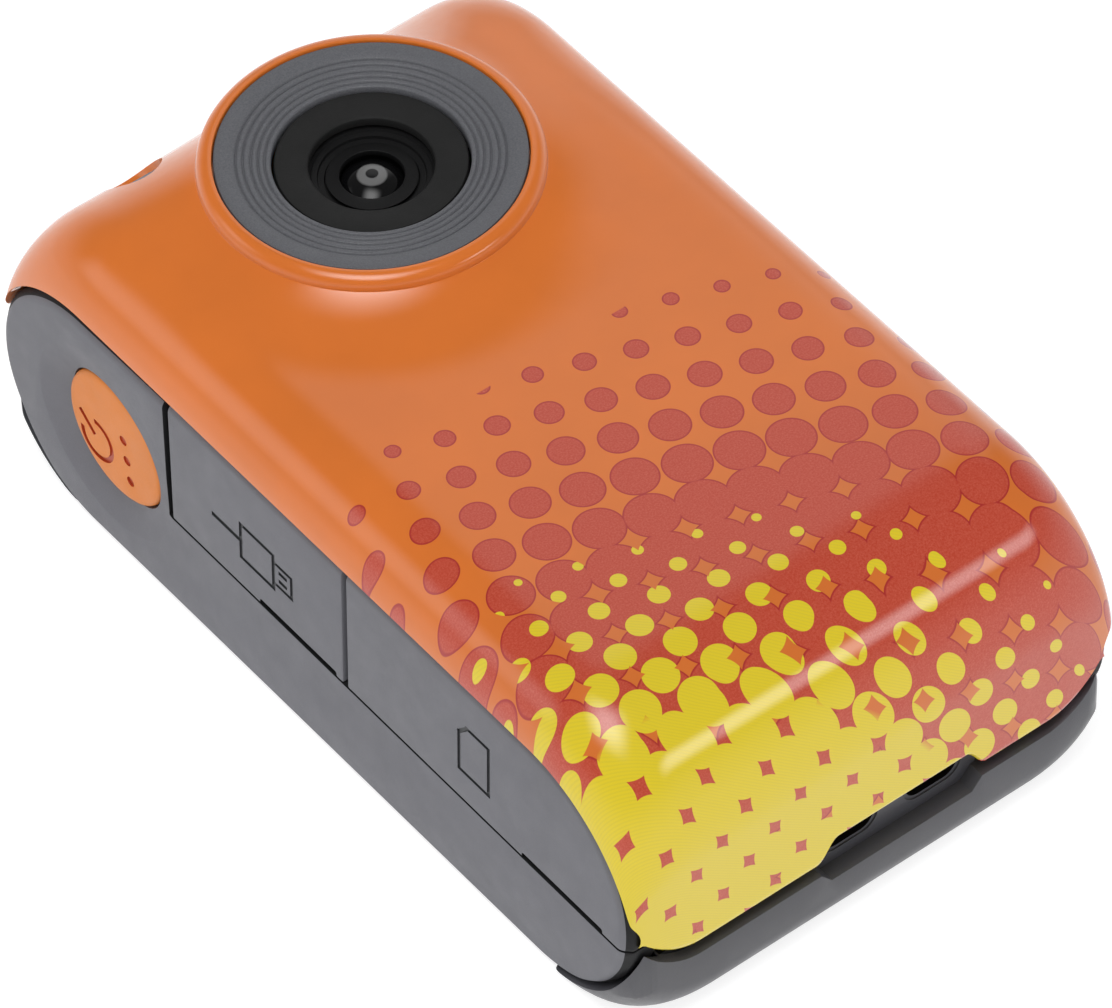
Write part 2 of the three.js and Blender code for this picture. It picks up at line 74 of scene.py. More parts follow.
# ---------- driving dimensions ----------
PANEL_LOW, PANEL_HIGH = box_mm("right_side_panel")
SIDE_X = PANEL_HIGH[0]
PANEL_R = (PANEL_HIGH[2] - PANEL_LOW[2]) / 2
PANEL_Y = PANEL_HIGH[1] - PANEL_R
PANEL_Z = PANEL_LOW[2] + PANEL_R
PANEL_BACK_X = PANEL_LOW[0]
FAR_REACH = 0.45  # how much further the panels' lens end reaches
SEAT_GAP = 0.3  # between a side panel and the shells
SEAT_X = PANEL_BACK_X - 0.2
HALF_LENGTH = CAD_HIGH[1] / MM
END_BULGE = HALF_LENGTH - PANEL_Y - PANEL_R
THICKNESS = 26.7
FRONT_ROUND = 5.8  # width of the rounded long front edges
FRONT_FLAT = SIDE_X - FRONT_ROUND
REAR_ROUND = 7.5
END_R = 10.9  # front radius of both ends
REAR_R = 2.9
SHELL_Z = box_mm("front_shell")[0][2]
RIM_Z = box_mm("rear_cover")[1][2]
SHELL_WALL = 1.4
CORNER_RISE = 2.9  # how far the line between the shells climbs at the corners
RISE_START, RISE_WIDTH = 15.4, 5.0  # the stretch of X over which it climbs
OUTSIDE = 60  # well outside the body

RING_LOW, RING_HIGH = box_mm("lens_trim_ring")
LENS_Y = (RING_LOW[1] + RING_HIGH[1]) / 2
RING_R = RING_HIGH[0]
LIP_Z = CAD_HIGH[2] / MM
COLLAR_R = RING_R + 1.3
FILLET_W = 7.4  # how far the collar's foot flares out
FILLET_H = 1.75

FLAP_Z = 9.4
SHUTTER_UP, SHUTTER_OUT = 4.1, 2.6  # how far the visible cap sits above and beside its plunger
SHUTTER_R, SHUTTER_HOLE_R = 2.05, 2.3
SHUTTER_BACK, SHUTTER_HOLE_BACK = 28.8, 28.5  # Y of the cap's inner end, at most, and of the hole's
KEY_R = 2.7
USB_PORT = (1.4, 10.0, 12.7, 16.2)  # openings behind the flaps: lowest and highest Y, then Z
CARD_PORT = (-27.3, -14.7, 12.7, 15.2)
SCOOP_SHIFT = np.array([0.7, -0.6])  # from the power button's centre to that of the dish round it
SCOOP_R = 8.1
SCOOP_DEPTH = 1.25
CREASE_LEAN = 0.028
STRAP_LOW, STRAP_HIGH = box_mm("strap_anchor")
STRAP_X = (STRAP_LOW[0] + STRAP_HIGH[0]) / 2
STRAP_W = 13.4
STRAP_TOP = 9.1
STRAP_BOTTOM = 4.9


# ---------- meshes ----------
def put(name, data):
    """A new object in the scene."""
    made = bpy.data.objects.new(name, data)
    SCENE.collection.objects.link(made)
    return made


def new_mesh(name, points, faces, material=None):
    """A closed mesh from points in millimetres, its faces turned outwards."""
    data = bpy.data.meshes.new(name)
    data.from_pydata((np.asarray(points, float) * MM).tolist(), [], faces)
    shape = bmesh.new()
    shape.from_mesh(data)
    bmesh.ops.recalc_face_normals(shape, faces=shape.faces)
    shape.to_mesh(data)
    shape.free()
    if material:
        data.materials.append(material)
    return data


def add_piece(name, solid, material, slot, *stands_for, body="camera_body", uv=None):
    """A smooth-shaded piece from (points, faces), with creases where its faces turn sharply."""
    data = new_mesh(name, *solid, material)
    if uv is not None:
        layer = data.uv_layers.new(name="print")
        corner = np.zeros(len(data.loops), np.int32)
        data.loops.foreach_get("vertex_index", corner)
        layer.data.foreach_set("uv", np.asarray(uv, np.float32)[corner].ravel())
    piece = put(name, data)
    shade(piece)
    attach(piece, body)
    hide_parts(*stands_for)
    return piece


def shade(piece, angle=38):
    data = piece.data
    data.validate()
    data.polygons.foreach_set("use_smooth", np.ones(len(data.polygons), bool))
    data.set_sharp_from_angle(angle=math.radians(angle))


def grid_faces(rows, columns, closed=False):
    """Quads between neighbouring rows of points."""
    index = np.arange(rows * columns).reshape(rows, columns)
    if closed:
        index = np.concatenate([index, index[:, :1]], axis=1)
    corners = [index[:-1, :-1], index[:-1, 1:], index[1:, 1:], index[1:, :-1]]
    return np.stack(corners, -1).reshape(-1, 4).tolist()


def tube_faces(rows, sides, looped=False):
    """Faces of a stack of rings: joined into a loop, or with a cap on each end."""
    faces = grid_faces(rows, sides, closed=True)
    last = (rows - 1) * sides
    if looped:
        return faces + [[last + k, last + (k + 1) % sides, (k + 1) % sides, k] for k in range(sides)]
    return faces + [list(range(sides))[::-1], list(range(last, last + sides))]


def to_axis(a, b, along, axis):
    """Points whose (a, b) lie in the plane across an axis. Across X they are (y, z), across Z (x, y)."""
    a, b, along = np.broadcast_arrays(a, b, along)
    order = {"x": (along, a, b), "z": (a, b, along), "y": (b, along, a)}[axis]
    return np.stack([np.asarray(o, float) for o in order], -1)


def inset_outline(outline, amount):
    """A closed anticlockwise outline, moved inwards."""
    ahead = np.roll(outline, -1, 0) - outline
    ahead /= np.linalg.norm(ahead, axis=1)[:, None]
    behind = np.roll(ahead, 1, 0)
    normal = np.stack([-(ahead + behind)[:, 1], (ahead + behind)[:, 0]], -1)
    length = np.maximum((normal**2).sum(1), 0.5)
    return outline + amount * 2 * normal / length[:, None]


def prism(outline, profile, axis, share=1.0):
    """A solid whose outline is inset by the first number of each profile pair at the second's height.
    The share of the inset that is made can differ from point to point of the outline."""
    outline = np.asarray(outline, float)
    rings = []
    for inset, along in profile:
        ring = mix(outline, inset_outline(outline, inset), share) if inset else outline
        rings.append(to_axis(ring[:, 0], ring[:, 1], along, axis))
    return np.concatenate(rings), tube_faces(len(rings), len(outline))


def slab(outline, low, high, axis):
    """A solid with straight walls between two heights."""
    return prism(outline, [(0, low), (0, high)], axis)


def turned(profile, centre, axis="z", sides=160, closed=False):
    """A profile of (radius, height) pairs turned about an axis through the centre."""
    angle = np.arange(sides) * 2 * np.pi / sides
    rings = [
        to_axis(centre[0] + r * np.cos(angle), centre[1] + r * np.sin(angle), height, axis)
        for r, height in profile
    ]
    return np.concatenate(rings), tube_faces(len(rings), sides, closed)


def rod(radius, low, high, centre, axis="z", sides=160):
    return turned([(radius, low), (radius, high)], centre, axis, sides)


def arc(centre, radius, start, stop, steps):
    angle = np.radians(np.linspace(start, stop, steps + 1))
    return np.stack([centre[0] + radius * np.cos(angle), centre[1] + radius * np.sin(angle)], -1)


def circle(centre, radius, sides=96):
    return arc(centre, radius, 0, 360, sides)[:-1]


def rounded_rectangle(x0, x1, y0, y1, r, steps=8):
    corners = [(x1 - r, y1 - r), (x0 + r, y1 - r), (x0 + r, y0 + r), (x1 - r, y0 + r)]
    return np.concatenate([arc(c, r, 90 * k, 90 * k + 90, steps) for k, c in enumerate(corners)])


def stadium(offset=0.0, steps=64):
    """The side panels' outline in (y, z)."""
    far = arc((PANEL_Y + FAR_REACH, PANEL_Z), PANEL_R + offset, -90, 90, steps)
    near = arc((-PANEL_Y, PANEL_Z), PANEL_R + offset, 90, 270, steps)
    return np.concatenate([far, near])


def stroke(start, end, width):
    """The outline of a straight mark."""
    start, end = np.asarray(start, float), np.asarray(end, float)
    ahead = (end - start) / np.linalg.norm(end - start)
    side = np.array([-ahead[1], ahead[0]]) * width / 2
    ahead = ahead * width / 2
    return np.array([start - ahead - side, end + ahead - side, end + ahead + side, start - ahead + side])


def block(low, high):
    outline = [(low[0], low[1]), (high[0], low[1]), (high[0], high[1]), (low[0], high[1])]
    return slab(outline, low[2], high[2], "z")


# ---------- cutting ----------
def cutter(solid, material=None):
    return put("cutter", new_mesh("cutter", *solid, material))


def carve(piece, *tools, operation="DIFFERENCE"):
    """Cuts away what the tools cover, or with INTERSECT keeps only that, and removes the tools."""
    for tool in tools:
        step = piece.modifiers.new("cut", "BOOLEAN")
        step.operation = operation
        step.solver = "EXACT"
        step.object = tool
        step.material_mode = "TRANSFER"
    bake_modifiers(piece)
    for tool in tools:
        bpy.data.objects.remove(tool)


def bake_modifiers(piece):
    bpy.context.view_layer.update()
    evaluated = piece.evaluated_get(bpy.context.evaluated_depsgraph_get())
    piece.data = bpy.data.meshes.new_from_object(evaluated)
    piece.modifiers.clear()
    shade(piece)


def soften(piece, width, angle=50, segments=2):
    """Rounds a piece's sharp edges a little."""
    step = piece.modifiers.new("soften", "BEVEL")
    step.width = width * MM
    step.segments = segments
    step.limit_method = "ANGLE"
    step.angle_limit = math.radians(angle)
    step.use_clamp_overlap = True
    bake_modifiers(piece)


# ---------- materials ----------
def colour(red, green, blue):
    """A linear colour from 0-255 sRGB numbers."""
    def linear(value):
        value /= 255
        return value / 12.92 if value <= 0.04045 else ((value + 0.055) / 1.055) ** 2.4

    return (linear(red), linear(green), linear(blue), 1.0)


class Nodes:
    """A shader node tree that is put together with short calls."""

    def __init__(self, tree):
        self.tree = tree

    def join(self, value, socket):
        if isinstance(value, bpy.types.NodeSocket):
            self.tree.links.new(value, socket)
        else:
            socket.default_value = value

    def add(self, kind, *values, out=0, **settings):
        node = self.tree.nodes.new("ShaderNode" + kind)
        for key, value in settings.items():
            setattr(node, key, value)
        for value, socket in zip(values, node.inputs):
            if value is not None:
                self.join(value, socket)
        return node.outputs[out]

    def math(self, operation, *values, clamp=False):
        return self.add("Math", *values, operation=operation, use_clamp=clamp)

    def vector(self, operation, *values, out=0):
        return self.add("VectorMath", *values, operation=operation, out=out)

    def split(self, vector):
        """The X, Y and Z of a vector."""
        return self.add("SeparateXYZ", vector).node.outputs

    def ramp(self, value, low, high, to_low=0.0, to_high=1.0, **settings):
        return self.add("MapRange", value, low, high, to_low, to_high, **settings)


class Finish(Nodes):
    """A node material."""

    def __init__(self, name, **shader):
        self.material = bpy.data.materials.new(name)
        self.material.use_nodes = True
        super().__init__(self.material.node_tree)
        self.shader = self.tree.nodes["Principled BSDF"]
        for socket, value in shader.items():
            self.shader.inputs[socket.replace("_", " ")].default_value = value

    def place(self):
        return self.add("TexCoord", out="Object")

    def noise(self, scale, detail=3.0, roughness=0.55):
        """Noise from 0 to 1 whose scale is in features per metre."""
        return self.add("TexNoise", self.place(), None, scale, detail, roughness)

    def from_lens_axis(self):
        """Distance from the lens axis, in metres."""
        centred = self.vector("SUBTRACT", self.place(), (0, LENS_Y * MM, 0))
        return self.vector("LENGTH", self.vector("MULTIPLY", centred, (1, 1, 0)), out=1)

    def mix(self, factor, first, second, blend="MIX"):
        node = self.tree.nodes.new("ShaderNodeMix")
        node.data_type = "RGBA"
        node.blend_type = blend
        self.join(factor, node.inputs[0])
        self.join(first, node.inputs[6])
        self.join(second, node.inputs[7])
        return node.outputs[2]

    def tint(self, base, amount, scale):
        """Varies a colour a little from place to place."""
        shades = [tuple(min(1, c * (1 + amount * side)) for c in base[:3]) + (1.0,) for side in (-1, 1)]
        return self.mix(self.ramp(self.noise(scale), 0.3, 0.7), *shades)

    def base(self, value):
        self.join(value, self.shader.inputs["Base Color"])

    def rough(self, low, high, scale):
        self.join(self.ramp(self.noise(scale), 0.3, 0.7, low, high), self.shader.inputs["Roughness"])

    def bump(self, height, strength, depth):
        """Relief from a 0-1 height, whose full depth is in millimetres."""
        node = self.tree.nodes.new("ShaderNodeBump")
        node.inputs["Strength"].default_value = strength
        node.inputs["Distance"].default_value = depth * MM
        self.join(height, node.inputs["Height"])
        self.join(node.outputs[0], self.shader.inputs["Normal"])


def moulded(name, base, rough, grain, depth, scale=9000, **shader):
    """Moulded plastic: a fine spark-eroded grain over a slightly uneven colour."""
    finish = Finish(name, **shader)
    speckle = finish.ramp(finish.noise(scale, 4, 0.7), 0.3, 0.7)
    shade_of = finish.tint(base, 0.05, 160)
    paler = tuple(c * 1.7 for c in base[:3]) + (1,)
    finish.base(finish.mix(finish.math("MULTIPLY", speckle, grain), shade_of, paler))
    finish.rough(rough - 0.05, rough + 0.06, 500)
    finish.bump(speckle, 0.6, depth)
    return finish.material


ORANGE = colour(221, 117, 43)
RED = colour(188, 66, 44)
YELLOW = colour(226, 202, 40)
GREY = colour(106, 106, 112)

PRINT_SCALE = 100  # the print's coordinates are stored as hundredths
RED_DOTS = {
    "origin": (-14.7, -1.8), "pitch": 3.78, "tilt": -20.5,
    "centre": (-3.9, -37.0), "full": 3.61, "fade": 0.081,
}
YELLOW_DOTS = {
    "origin": (-10.0, -20.9), "pitch": 3.05, "tilt": 26.0,
    "centre": (-16.7, -50.7), "full": 3.28, "fade": 0.0875,
}
SMALLEST_DOT = 0.085  # radius, in pitches, below which a dot is left out
LARGEST_DOT = 0.57  # radius, in pitches, at which the gaps stop shrinking
YELLOW_MERGED = (20.2, 19.4)  # closer to their centre the yellow dots also cover the orange gaps
PRINT_TOP = -1.2  # the dots start below this line
STRETCH_Y = -31.3  # below it the film is drawn out towards the lower edge
SKEW_Y = -32.0  # below it the rows of dots slant
STRETCH = 1.377
SKEW = 0.258


def halftone(finish, at, origin, pitch, tilt, centre, full, fade):
    """Distance outside the nearest dot of a square lattice, in pitches and negative inside a dot.
    Dots lose fade millimetres of radius for each millimetre from the centre, and stop growing where
    only small gaps are left between them."""
    turn = math.radians(-tilt)
    rotate = np.array([[math.cos(turn), -math.sin(turn)], [math.sin(turn), math.cos(turn)]])
    start = rotate @ np.array(origin) / pitch
    focus = rotate @ np.array(centre) / pitch - start
    turned_at = finish.add("VectorRotate", at, (0, 0, 0), (0, 0, 1), turn)
    scaled = finish.vector("DIVIDE", turned_at, (pitch, pitch, 1))
    lattice = finish.vector("SUBTRACT", scaled, (*start, 0))
    cell = finish.vector("FLOOR", lattice)
    nearest = None
    for corner in ((0, 0, 0), (1, 0, 0), (0, 1, 0), (1, 1, 0)):
        dot = finish.vector("ADD", cell, corner)
        away = finish.vector("DISTANCE", dot, (*focus, 0), out=1)
        radius = finish.math("MULTIPLY_ADD", away, -fade, full / pitch)
        radius = finish.math("MINIMUM", radius, LARGEST_DOT)
        shown = finish.math("GREATER_THAN", radius, SMALLEST_DOT)
        radius = finish.math("ADD", radius, finish.math("SUBTRACT", shown, 1.0))
        from_dot = finish.vector("DISTANCE", lattice, dot, out=1)
        edge = finish.math("SUBTRACT", from_dot, radius)
        nearest = edge if nearest is None else finish.math("MINIMUM", nearest, edge)
    return nearest


def print_coordinates(finish):
    """Where a point lies on the flat printed film, in millimetres."""
    uv = finish.add("UVMap", uv_map="print")
    flat = finish.vector("MULTIPLY", uv, (PRINT_SCALE, PRINT_SCALE, 0))
    x, y = finish.split(flat)[:2]
    drawn = finish.math("MAXIMUM", finish.math("SUBTRACT", STRETCH_Y, y), 0.0)
    slanted = finish.math("MAXIMUM", finish.math("SUBTRACT", SKEW_Y, y), 0.0)
    moved_x = finish.math("MULTIPLY_ADD", slanted, -SKEW, x)
    moved_y = finish.math("MULTIPLY_ADD", drawn, 1 - 1 / STRETCH, y)
    at = finish.add("CombineXYZ", moved_x, moved_y, 0.0)
    return at, moved_x, y


def printed_film():
    """Orange plastic under a clear glossy film, printed with red and yellow halftone dots."""
    finish = Finish(
        "printed_film", Coat_Weight=1.0, Coat_Roughness=0.035, Coat_IOR=1.5, Roughness=0.42,
        Specular_IOR_Level=0.05,
    )
    at, x, y = print_coordinates(finish)
    red = halftone(finish, at, **RED_DOTS)
    yellow = halftone(finish, at, **YELLOW_DOTS)
    grain = finish.noise(7000, 4, 0.75)
    below = finish.ramp(y, PRINT_TOP + 0.04, PRINT_TOP - 0.04)

    orange = finish.tint(ORANGE, 0.035, 120)
    # Painted shade: the orange darkens towards the lower end of the face.
    painted_lower_shade = finish.ramp(y, -14.0, -22.0, 0.0, 0.2)
    orange = finish.mix(painted_lower_shade, orange, colour(176, 92, 48))
    body_red = finish.mix(finish.ramp(grain, 0.42, 0.72, 0.0, 0.34), RED, colour(226, 128, 104))
    edged_red = finish.mix(finish.ramp(red, -0.042, -0.018), body_red, colour(170, 44, 40))
    red_ink = finish.math("MULTIPLY", finish.ramp(red, 0.004, -0.004), below)
    ink = finish.mix(red_ink, orange, edged_red)

    hatch = finish.math("SINE", finish.math("MULTIPLY", finish.math("ADD", x, y), 2 * math.pi / 0.34))
    hatched = finish.mix(finish.ramp(hatch, -0.2, 0.9, 0.0, 0.22), YELLOW, colour(196, 178, 60))
    far = finish.vector("DISTANCE", at, (*YELLOW_DOTS["centre"], 0), out=1)
    merged = finish.ramp(far, *YELLOW_MERGED)
    covered = finish.ramp(yellow, 0.005, -0.005)
    covered = finish.math("MULTIPLY", covered, finish.math("MAXIMUM", red_ink, merged))
    finish.base(finish.mix(covered, ink, hatched))
    finish.rough(0.38, 0.5, 900)
    finish.bump(finish.noise(260, 2, 0.5), 0.10, 0.02)
    return finish.material


def ring_plastic():
    """The trim ring's grey plastic, with turning marks about the lens axis."""
    finish = Finish("ring_plastic", Specular_IOR_Level=0.4)
    marks = finish.math("SINE", finish.math("MULTIPLY", finish.from_lens_axis(), 2 * math.pi / (0.16 * MM)))
    speckle = finish.noise(8000, 4, 0.7)
    relief = finish.math("MULTIPLY_ADD", marks, 0.1, speckle)
    finish.base(finish.mix(finish.ramp(speckle, 0.3, 0.7), colour(84, 85, 89), colour(106, 107, 112)))
    finish.rough(0.42, 0.52, 600)
    finish.bump(relief, 0.35, 0.03)
    return finish.material


def glass(name, base, **shader):
    finish = Finish(name, Coat_Weight=1.0, Coat_Roughness=0.01, IOR=1.6, **shader)
    finish.base(finish.tint(base, 0.15, 300))
    finish.rough(0.02, 0.06, 400)
    return finish.material


def front_glass():
    """A small dome of coated glass: a dark pupil in a pale grey ring that is a painted reflection, with
    dark glass beyond.
    """
    finish = Finish("front_glass", Coat_Weight=0.15, Coat_Roughness=0.0, IOR=1.3)
    radius = finish.from_lens_axis()
    pupil = finish.ramp(radius, 0.42 * MM, 0.5 * MM)
    # Painted reflection: the glass is pale grey from the pupil out to about 1 mm, where it looks light.
    shoulder = finish.ramp(radius, 1.0 * MM, 1.15 * MM)
    inner = finish.mix(pupil, colour(6, 6, 8), colour(112, 112, 112))
    finish.base(finish.mix(shoulder, inner, colour(12, 12, 13)))
    finish.rough(0.03, 0.07, 500)
    return finish.material


def circuit_board():
    """Green solder mask with slightly raised copper tracks."""
    finish = Finish("circuit_board", Coat_Weight=0.5, Coat_Roughness=0.2)
    lanes = [
        finish.math("SINE", finish.math("MULTIPLY", axis, 2 * math.pi / (1.1 * MM)))
        for axis in finish.split(finish.place())[:2]
    ]
    choice = finish.ramp(finish.noise(220, 0), 0.49, 0.51)
    track = finish.math("MULTIPLY", finish.ramp(finish.math("MAXIMUM", *lanes), 0.8, 0.9), choice)
    finish.base(finish.mix(track, colour(22, 72, 44), colour(44, 112, 66)))
    finish.rough(0.35, 0.5, 500)
    finish.bump(track, 0.5, 0.03)
    return finish.material


def metal(name, base, rough, scale, stretch=(1, 1, 1)):
    """Bare metal with fine scratches, drawn out along one axis if stretch says so."""
    finish = Finish(name, Metallic=1.0)
    at = finish.vector("MULTIPLY", finish.place(), stretch)
    scratches = finish.add("TexNoise", at, None, scale, 4.0, 0.7)
    finish.base(finish.mix(scratches, tuple(c * 0.8 for c in base[:3]) + (1,), base))
    finish.rough(rough - 0.06, rough + 0.1, 700)
    finish.bump(scratches, 0.3, 0.02)
    return finish.material


FILM = printed_film()
PANEL = moulded("panel_plastic", GREY, 0.56, 0.16, 0.02, Specular_IOR_Level=0.4)
MARK = moulded("engraved_mark", colour(54, 55, 58), 0.5, 0.1, 0.01)
CASE = moulded("rear_case_plastic", colour(72, 72, 77), 0.36, 0.08, 0.008, scale=6000)
BUTTON = moulded(
    "button_plastic", colour(216, 124, 44), 0.45, 0.08, 0.008, scale=6000, Specular_IOR_Level=0.3
)
# Painted shade: the power button's symbol is the button's orange, coloured darker as its engraved lines
# look.
BUTTON_MARK_SHADE = moulded("button_mark_shade", colour(176, 62, 24), 0.45, 0.1, 0.006, scale=6000)
BLACK = moulded("black_plastic", colour(10, 10, 11), 0.55, 0.06, 0.008, Specular_IOR_Level=0.25)
MATT_BLACK = moulded("bezel_plastic", colour(27, 27, 27), 0.6, 0.14, 0.014, Specular_IOR_Level=0.25)
# Painted shade: near black for the panels' edge bevels and the flap seats' walls, where the seams look
# dark.
PANEL_SEAM_SHADE = moulded("panel_seam_shade", colour(26, 26, 28), 0.6, 0.1, 0.01, Specular_IOR_Level=0.2)
RING = ring_plastic()
GLASS = glass("lens_glass", colour(16, 18, 24))
SCREEN = glass("screen_glass", colour(10, 10, 12))
CHIP = moulded("chip_resin", colour(28, 28, 30), 0.6, 0.2, 0.01)
BOARD = circuit_board()
TIN = metal("tinned_steel", colour(196, 198, 202), 0.3, 2500, (1, 6, 1))
SCREW = metal("screw_steel", colour(150, 152, 156), 0.32, 3500)
FOIL = metal("battery_foil", colour(186, 189, 194), 0.4, 900)


# ---------- the outer form ----------
def mix(first, second, share):
    return first + (second - first) * share


def swell(x, width):
    into = np.clip((np.abs(x) - (SIDE_X - width)) / width, 0, 1)
    return np.sqrt(1 - into**2)


def section(x, inset=0.0):
    """Half length, top, bottom, front radius and rear radius of the body's section at x."""
    front, rear = swell(x, FRONT_ROUND), swell(x, REAR_ROUND)
    half = PANEL_Y + PANEL_R + END_BULGE * front - inset
    top = mix(PANEL_Z + PANEL_R, THICKNESS, front) - inset
    bottom = mix(PANEL_Z - PANEL_R, 0, rear) + inset
    front_r = mix(PANEL_R, END_R, front) - inset
    rear_r = np.maximum(mix(PANEL_R, REAR_R, rear) - inset, 0.5)
    return half, top, bottom, front_r, rear_r


def skin_point(x, v, low_z, inset=0.0):
    """(y, z, y on the flattened film) of the front skin at x. v runs from 0 to 1 up the lower end,
    to 2 round its arc, to 3 along the front, to 4 round the lens end's arc and to 5 down that end."""
    half, top, bottom, front_r, rear_r = section(x, inset)
    w = np.minimum(v, 5 - v)
    side = np.where(v < 2.5, -1.0, 1.0)
    run, arc_z = half - front_r, top - front_r
    turn = np.clip(w - 1, 0, 1) * np.pi / 2
    climb = low_z + (arc_z - low_z) * np.clip(w, 0, 1)
    z = np.where(w < 1, climb, arc_z + front_r * np.sin(turn))
    under = np.clip(bottom + rear_r - climb, 0, rear_r)
    tuck = rear_r - np.sqrt(rear_r**2 - under**2)
    reach = run + front_r * np.cos(turn) - np.where(w < 1, tuck, 0)
    along = np.clip(v - 2, 0, 1) * 2 - 1
    flattened = side * (run + front_r * (np.pi / 2 - turn) + np.where(w < 1, arc_z - z, 0))
    return np.where(w >= 2, run * along, side * reach), z, np.where(w >= 2, run * along, flattened)


def seam_x(v, low_z):
    """Where the front skin meets the edge of the side panel's seat."""
    near, far = np.full_like(v, FRONT_FLAT), np.full_like(v, SIDE_X)
    for _ in range(40):
        middle = (near + far) / 2
        y, z, _ = skin_point(middle, v, low_z)
        past = np.maximum(np.where(y > 0, y - FAR_REACH, -y) - PANEL_Y, 0)
        outside = np.hypot(past, z - PANEL_Z) - PANEL_R > SEAT_GAP
        near, far = np.where(outside, middle, near), np.where(outside, far, middle)
    return np.maximum(near, SEAT_X + 0.2)


def foot_flare(x, y, turn_share):
    """Height added round the collar's foot: a concave fillet that dies out on the front."""
    distance = np.hypot(x, y - LENS_Y)
    share = np.clip((distance - COLLAR_R) / FILLET_W, 0, 1)
    sideways = np.clip((np.abs(x) - FRONT_FLAT) / FRONT_ROUND, 0, 1)
    steep = 1 - np.sqrt(1 - (1 - share) ** 2)
    return FILLET_H * mix(steep, (1 - share) ** 2, 0.92) * turn_share * (1 - sideways**2)


def corner_rise(x):
    """How far the line between the shells climbs towards the side panels."""
    share = np.clip((np.abs(x) - RISE_START) / RISE_WIDTH, 0, 1)
    return CORNER_RISE * share * share


def strap_notch(x):
    """The shell's lower edge, which rises over the strap window and at the corners."""
    ramp = np.clip((STRAP_W / 2 + 0.9 - np.abs(x - STRAP_X)) / 1.8, 0, 1)
    return SHELL_Z + (STRAP_TOP - SHELL_Z) * ramp * ramp * (3 - 2 * ramp) + corner_rise(x)


COLLAR_PROFILE = [(RING_R - 0.3, 28.2), (RING_R + 0.08, 28.2), (RING_R + 0.08, LIP_Z - 0.16)]
COLLAR_PROFILE += [(RING_R + 0.13, LIP_Z - 0.04), (RING_R + 0.24, LIP_Z), (RING_R + 0.5, LIP_Z - 0.03)]
COLLAR_PROFILE += [(RING_R + 0.85, LIP_Z - 0.2), (RING_R + 1.08, LIP_Z - 0.42)]
COLLAR_PROFILE += [(RING_R + 1.2, LIP_Z - 0.62), (COLLAR_R, LIP_Z - 0.95)]


